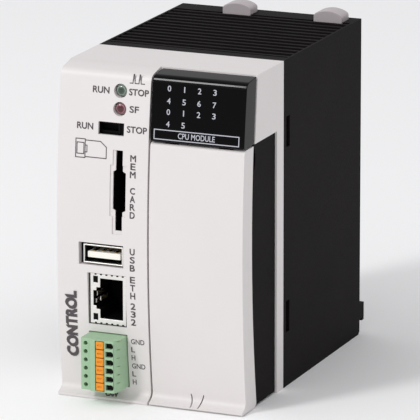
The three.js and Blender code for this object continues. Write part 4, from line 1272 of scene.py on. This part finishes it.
@dataclass
class TerminalFittings(Assembly):
    """Clamp screws and wire clamps of the terminal block, in millimetres.

    Args:
        poles: Number of terminals.
        pitch: Terminal to terminal.
        face: The block's face, ahead of the joint.
        screw_radius: Radius of a clamp screw.
        screw_length: Its length.
        slot_half: Half the width of its slot.
        clamp_x: Sides of a wire clamp, from the block's left side.
        clamp_back: Front and rear of a wire clamp, behind the block's face.
    """

    poles: int = 18
    pitch: float = 3.5
    face: float = -21.0
    screw_radius: float = 1.23
    screw_length: float = 2.4
    slot_half: float = 0.2
    clamp_x: Span = (1.65, 3.85)
    clamp_back: Span = (3.6, 6.6)

    def heights(self) -> list[float]:
        """Give each terminal's height, lowest first."""
        low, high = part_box("terminal_block")
        middle = (low[2] + high[2]) / 2 / MM - self.places.base
        return [middle + (n - (self.poles - 1) / 2) * self.pitch for n in range(self.poles)]

    def row(self, first: Piece) -> Piece:
        """Set one fitting in every terminal."""
        return Bench.repeated(first, [(0, 0, n * self.pitch) for n in range(1, self.poles)])

    def screws(self) -> Piece:
        """Turn one slotted screw and set it in every well.

        Returns:
            The screws as one piece.
        """
        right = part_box("terminal_block")[1][0] / MM - self.places.left
        Bench.pick()
        bpy.ops.mesh.primitive_cylinder_add(
            vertices=20, radius=self.screw_radius * MM, depth=self.screw_length * MM
        )
        screw = bpy.context.object
        screw.name = screw.data.name = "clamp_screws"
        bpy.ops.object.mode_set(mode="EDIT")
        bpy.ops.mesh.select_all(action="SELECT")
        for side in (-self.slot_half, self.slot_half):
            bpy.ops.mesh.bisect(plane_co=(0, side * MM, 0), plane_no=(0, 1, 0))
            bpy.ops.mesh.select_all(action="SELECT")
        bpy.ops.mesh.select_all(action="DESELECT")
        bpy.ops.object.mode_set(mode="OBJECT")
        for face in screw.data.polygons:
            face.select = face.normal.z > 0.9 and abs(face.center.y) < self.slot_half * MM
        bpy.ops.object.mode_set(mode="EDIT")
        bpy.ops.mesh.extrude_region_move(TRANSFORM_OT_translate={"value": (0, 0, -0.5 * MM)})
        bpy.ops.object.mode_set(mode="OBJECT")
        screw.rotation_euler = (math.pi / 2, 0, 0)
        screw.location = self.places.at(right - 3, self.face + 5.6, self.heights()[0])
        Bench.settle(screw)
        Bench.rounded(screw, 0.1, 1)
        return self.row(screw)

    def clamps(self) -> Piece:
        """Set a plated clamp in every wire hole.

        Returns:
            The clamps as one piece.
        """
        z = self.heights()[0]
        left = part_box("terminal_block")[0][0] / MM - self.places.left
        x = (left + self.clamp_x[0], left + self.clamp_x[1])
        deep = (self.face + self.clamp_back[0], self.face + self.clamp_back[1])
        lower = self.block("wire_clamps", x, deep, (z - 1.05, z - 0.45), 0.12)
        upper = self.block("wire_clamp_top", x, deep, (z + 0.6, z + 1.05), 0.12)
        return self.row(Bench.joined("wire_clamps", [lower, upper]))

    def build(self) -> None:
        """Make the fittings."""
        self.shop.hand_over(self.screws(), "root", self.paint(Finish.STEEL))
        self.shop.hand_over(self.clamps(), "root", self.paint(Finish.TINNED))


@dataclass
class RackConnector(Assembly):
    """Contacts on both sides of the bus connector's blade, in millimetres.

    Args:
        count: Contacts on each side.
        pitch: Contact to contact.
        half_width: Half a contact's width.
        thick: Its thickness.
        back: Its front and rear end, ahead of the connector's rear face.
    """

    count: int = 18
    pitch: float = 2.0
    half_width: float = 0.45
    thick: float = 0.2
    back: Span = (5.8, 1.9)

    def build(self) -> None:
        """Make the contacts."""
        low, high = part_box("bus_connector")
        middle_x = (low[0] + high[0]) / 2 / MM - self.places.left
        middle_z = (low[2] + high[2]) / 2 / MM - self.places.base
        rear = high[1] / MM - self.places.joint
        y = (rear - self.back[0], rear - self.back[1])
        z = middle_z - (self.count - 1) / 2 * self.pitch
        heights = (z - self.half_width, z + self.half_width)
        steps = [(0, 0, n * self.pitch) for n in range(1, self.count)]
        sides = []
        for name, x in (("bus_contacts", middle_x - 1.05), ("bus_contacts_right", middle_x + 0.85)):
            first = self.block(name, (x, x + self.thick), y, heights, 0.06)
            sides.append(Bench.repeated(first, steps))
        piece = Bench.joined("bus_contacts", sides)
        self.shop.hand_over(piece, "root", self.paint(Finish.GOLD))


@dataclass
class LatchSprings(Assembly):
    """The coils under the latches, which flatten as their latch is pressed.

    Args:
        travel: How far a latch goes down, in millimetres; not used.
    """

    travel: float = 2.5

    def build(self) -> None:
        """Make both coils; each rides with its spring's body on a mesh of its own."""
        for side in ("left", "right"):
            node = f"latch_spring_{side}"
            piece = Bench.copy_of(self.shop.frame["nodes"][node], f"{node}_coil")
            bpy.ops.object.shade_smooth_by_angle(angle=math.radians(60))
            self.shop.hand_over(piece, self.shop.bodies[node], self.paint(Finish.STEEL), node)
            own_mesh(piece)


@dataclass
class Studio:
    """Camera, floor and light.

    Args:
        camera_at: The lens's place, in metres.
        azimuth: Degrees to the right of straight ahead.
        elevation: Degrees above the horizon.
        roll: Degrees the camera is tipped by.
        lens_mm: Focal length on a 36 mm sensor.
    """

    camera_at: Point = (0.51630, -1.21490, 0.39527)
    azimuth: float = 23.027
    elevation: float = 14.719
    roll: float = -0.132
    lens_mm: float = 389.44

    def build(self) -> None:
        """Make everything that isn't the module."""
        self.camera()
        self.floor()
        self.lights()

    def camera(self) -> None:
        """Put up the camera."""
        a, e, t = (math.radians(v) for v in (self.azimuth, self.elevation, self.roll))
        back = Vector((math.sin(a) * math.cos(e), -math.cos(a) * math.cos(e), math.sin(e)))
        right = (-back).cross(Vector((0, 0, 1))).normalized()
        up = right.cross(-back)
        tipped_right = math.cos(t) * right + math.sin(t) * up
        tipped_up = -math.sin(t) * right + math.cos(t) * up
        bpy.ops.object.camera_add(location=self.camera_at)
        camera = bpy.context.object
        camera.name = "camera"
        camera.rotation_mode = "QUATERNION"
        turn = Matrix((tipped_right, tipped_up, back)).transposed()
        camera.rotation_quaternion = turn.to_quaternion()
        camera.data.lens = self.lens_mm
        camera.data.clip_start = 0.05
        camera.data.clip_end = 10
        bpy.context.scene.camera = camera

    def floor(self) -> None:
        """Lay a pale floor."""
        Bench.pick()
        bpy.ops.mesh.primitive_plane_add(size=6, location=(0, 0, 0))
        floor = bpy.context.object
        floor.name = "studio_floor"
        white = linear("FEFEFE")
        looks = {"roughness": 0.95, "specular_ior_level": 0.1, "ior": 1.5}
        paper = Shading("paper_backdrop", base_color=white, **looks)
        floor.data.materials.append(paper.material)

    def lights(self) -> None:
        """Hang a soft key on the left, a strip that glints in glossy edges, and an even sky."""
        world = bpy.data.worlds.new("studio_sky")
        world.use_nodes = True
        sky = world.node_tree.nodes["Background"]
        sky.inputs["Color"].default_value = linear("F2F2F4")
        sky.inputs["Strength"].default_value = 0.8
        bpy.context.scene.world = world
        for name, place, size, power, along in (
            ("key_softbox", (-0.6, -1.05, 0.65), (0.7, 0.7), 0.6, (0, 0, 1)),
            ("key_strip", (-0.51, -0.89, 0.93), (0.11, 0.5), 6.2, (0, 0.70, 0.71)),
        ):
            bpy.ops.object.light_add(type="AREA", location=place)
            light = bpy.context.object
            light.name = name
            light.data.shape = "RECTANGLE"
            light.data.size, light.data.size_y = size
            light.data.energy = power
            back = (Vector(place) - Vector((0, 0, 0.05))).normalized()
            across = Vector(along).cross(back).normalized()
            light.rotation_mode = "QUATERNION"
            turn = Matrix((across, back.cross(across), back)).transposed()
            light.rotation_quaternion = turn.to_quaternion()
        bpy.context.scene.view_settings.view_transform = "Standard"


def main() -> None:
    """Build the module and its studio."""
    logging.basicConfig(level=logging.INFO, format="%(name)s: %(message)s")
    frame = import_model()
    shop = Workshop(frame, Places(), Paints())
    Mouldings(shop).build()
    Printing(shop).build()
    StatusLamps(shop).build()
    Sockets(shop).build()
    PlugClampShade(shop).build()
    TerminalFittings(shop).build()
    RackConnector(shop).build()
    LatchSprings(shop).build()
    Studio().build()


if __name__ == "__main__":
    main()
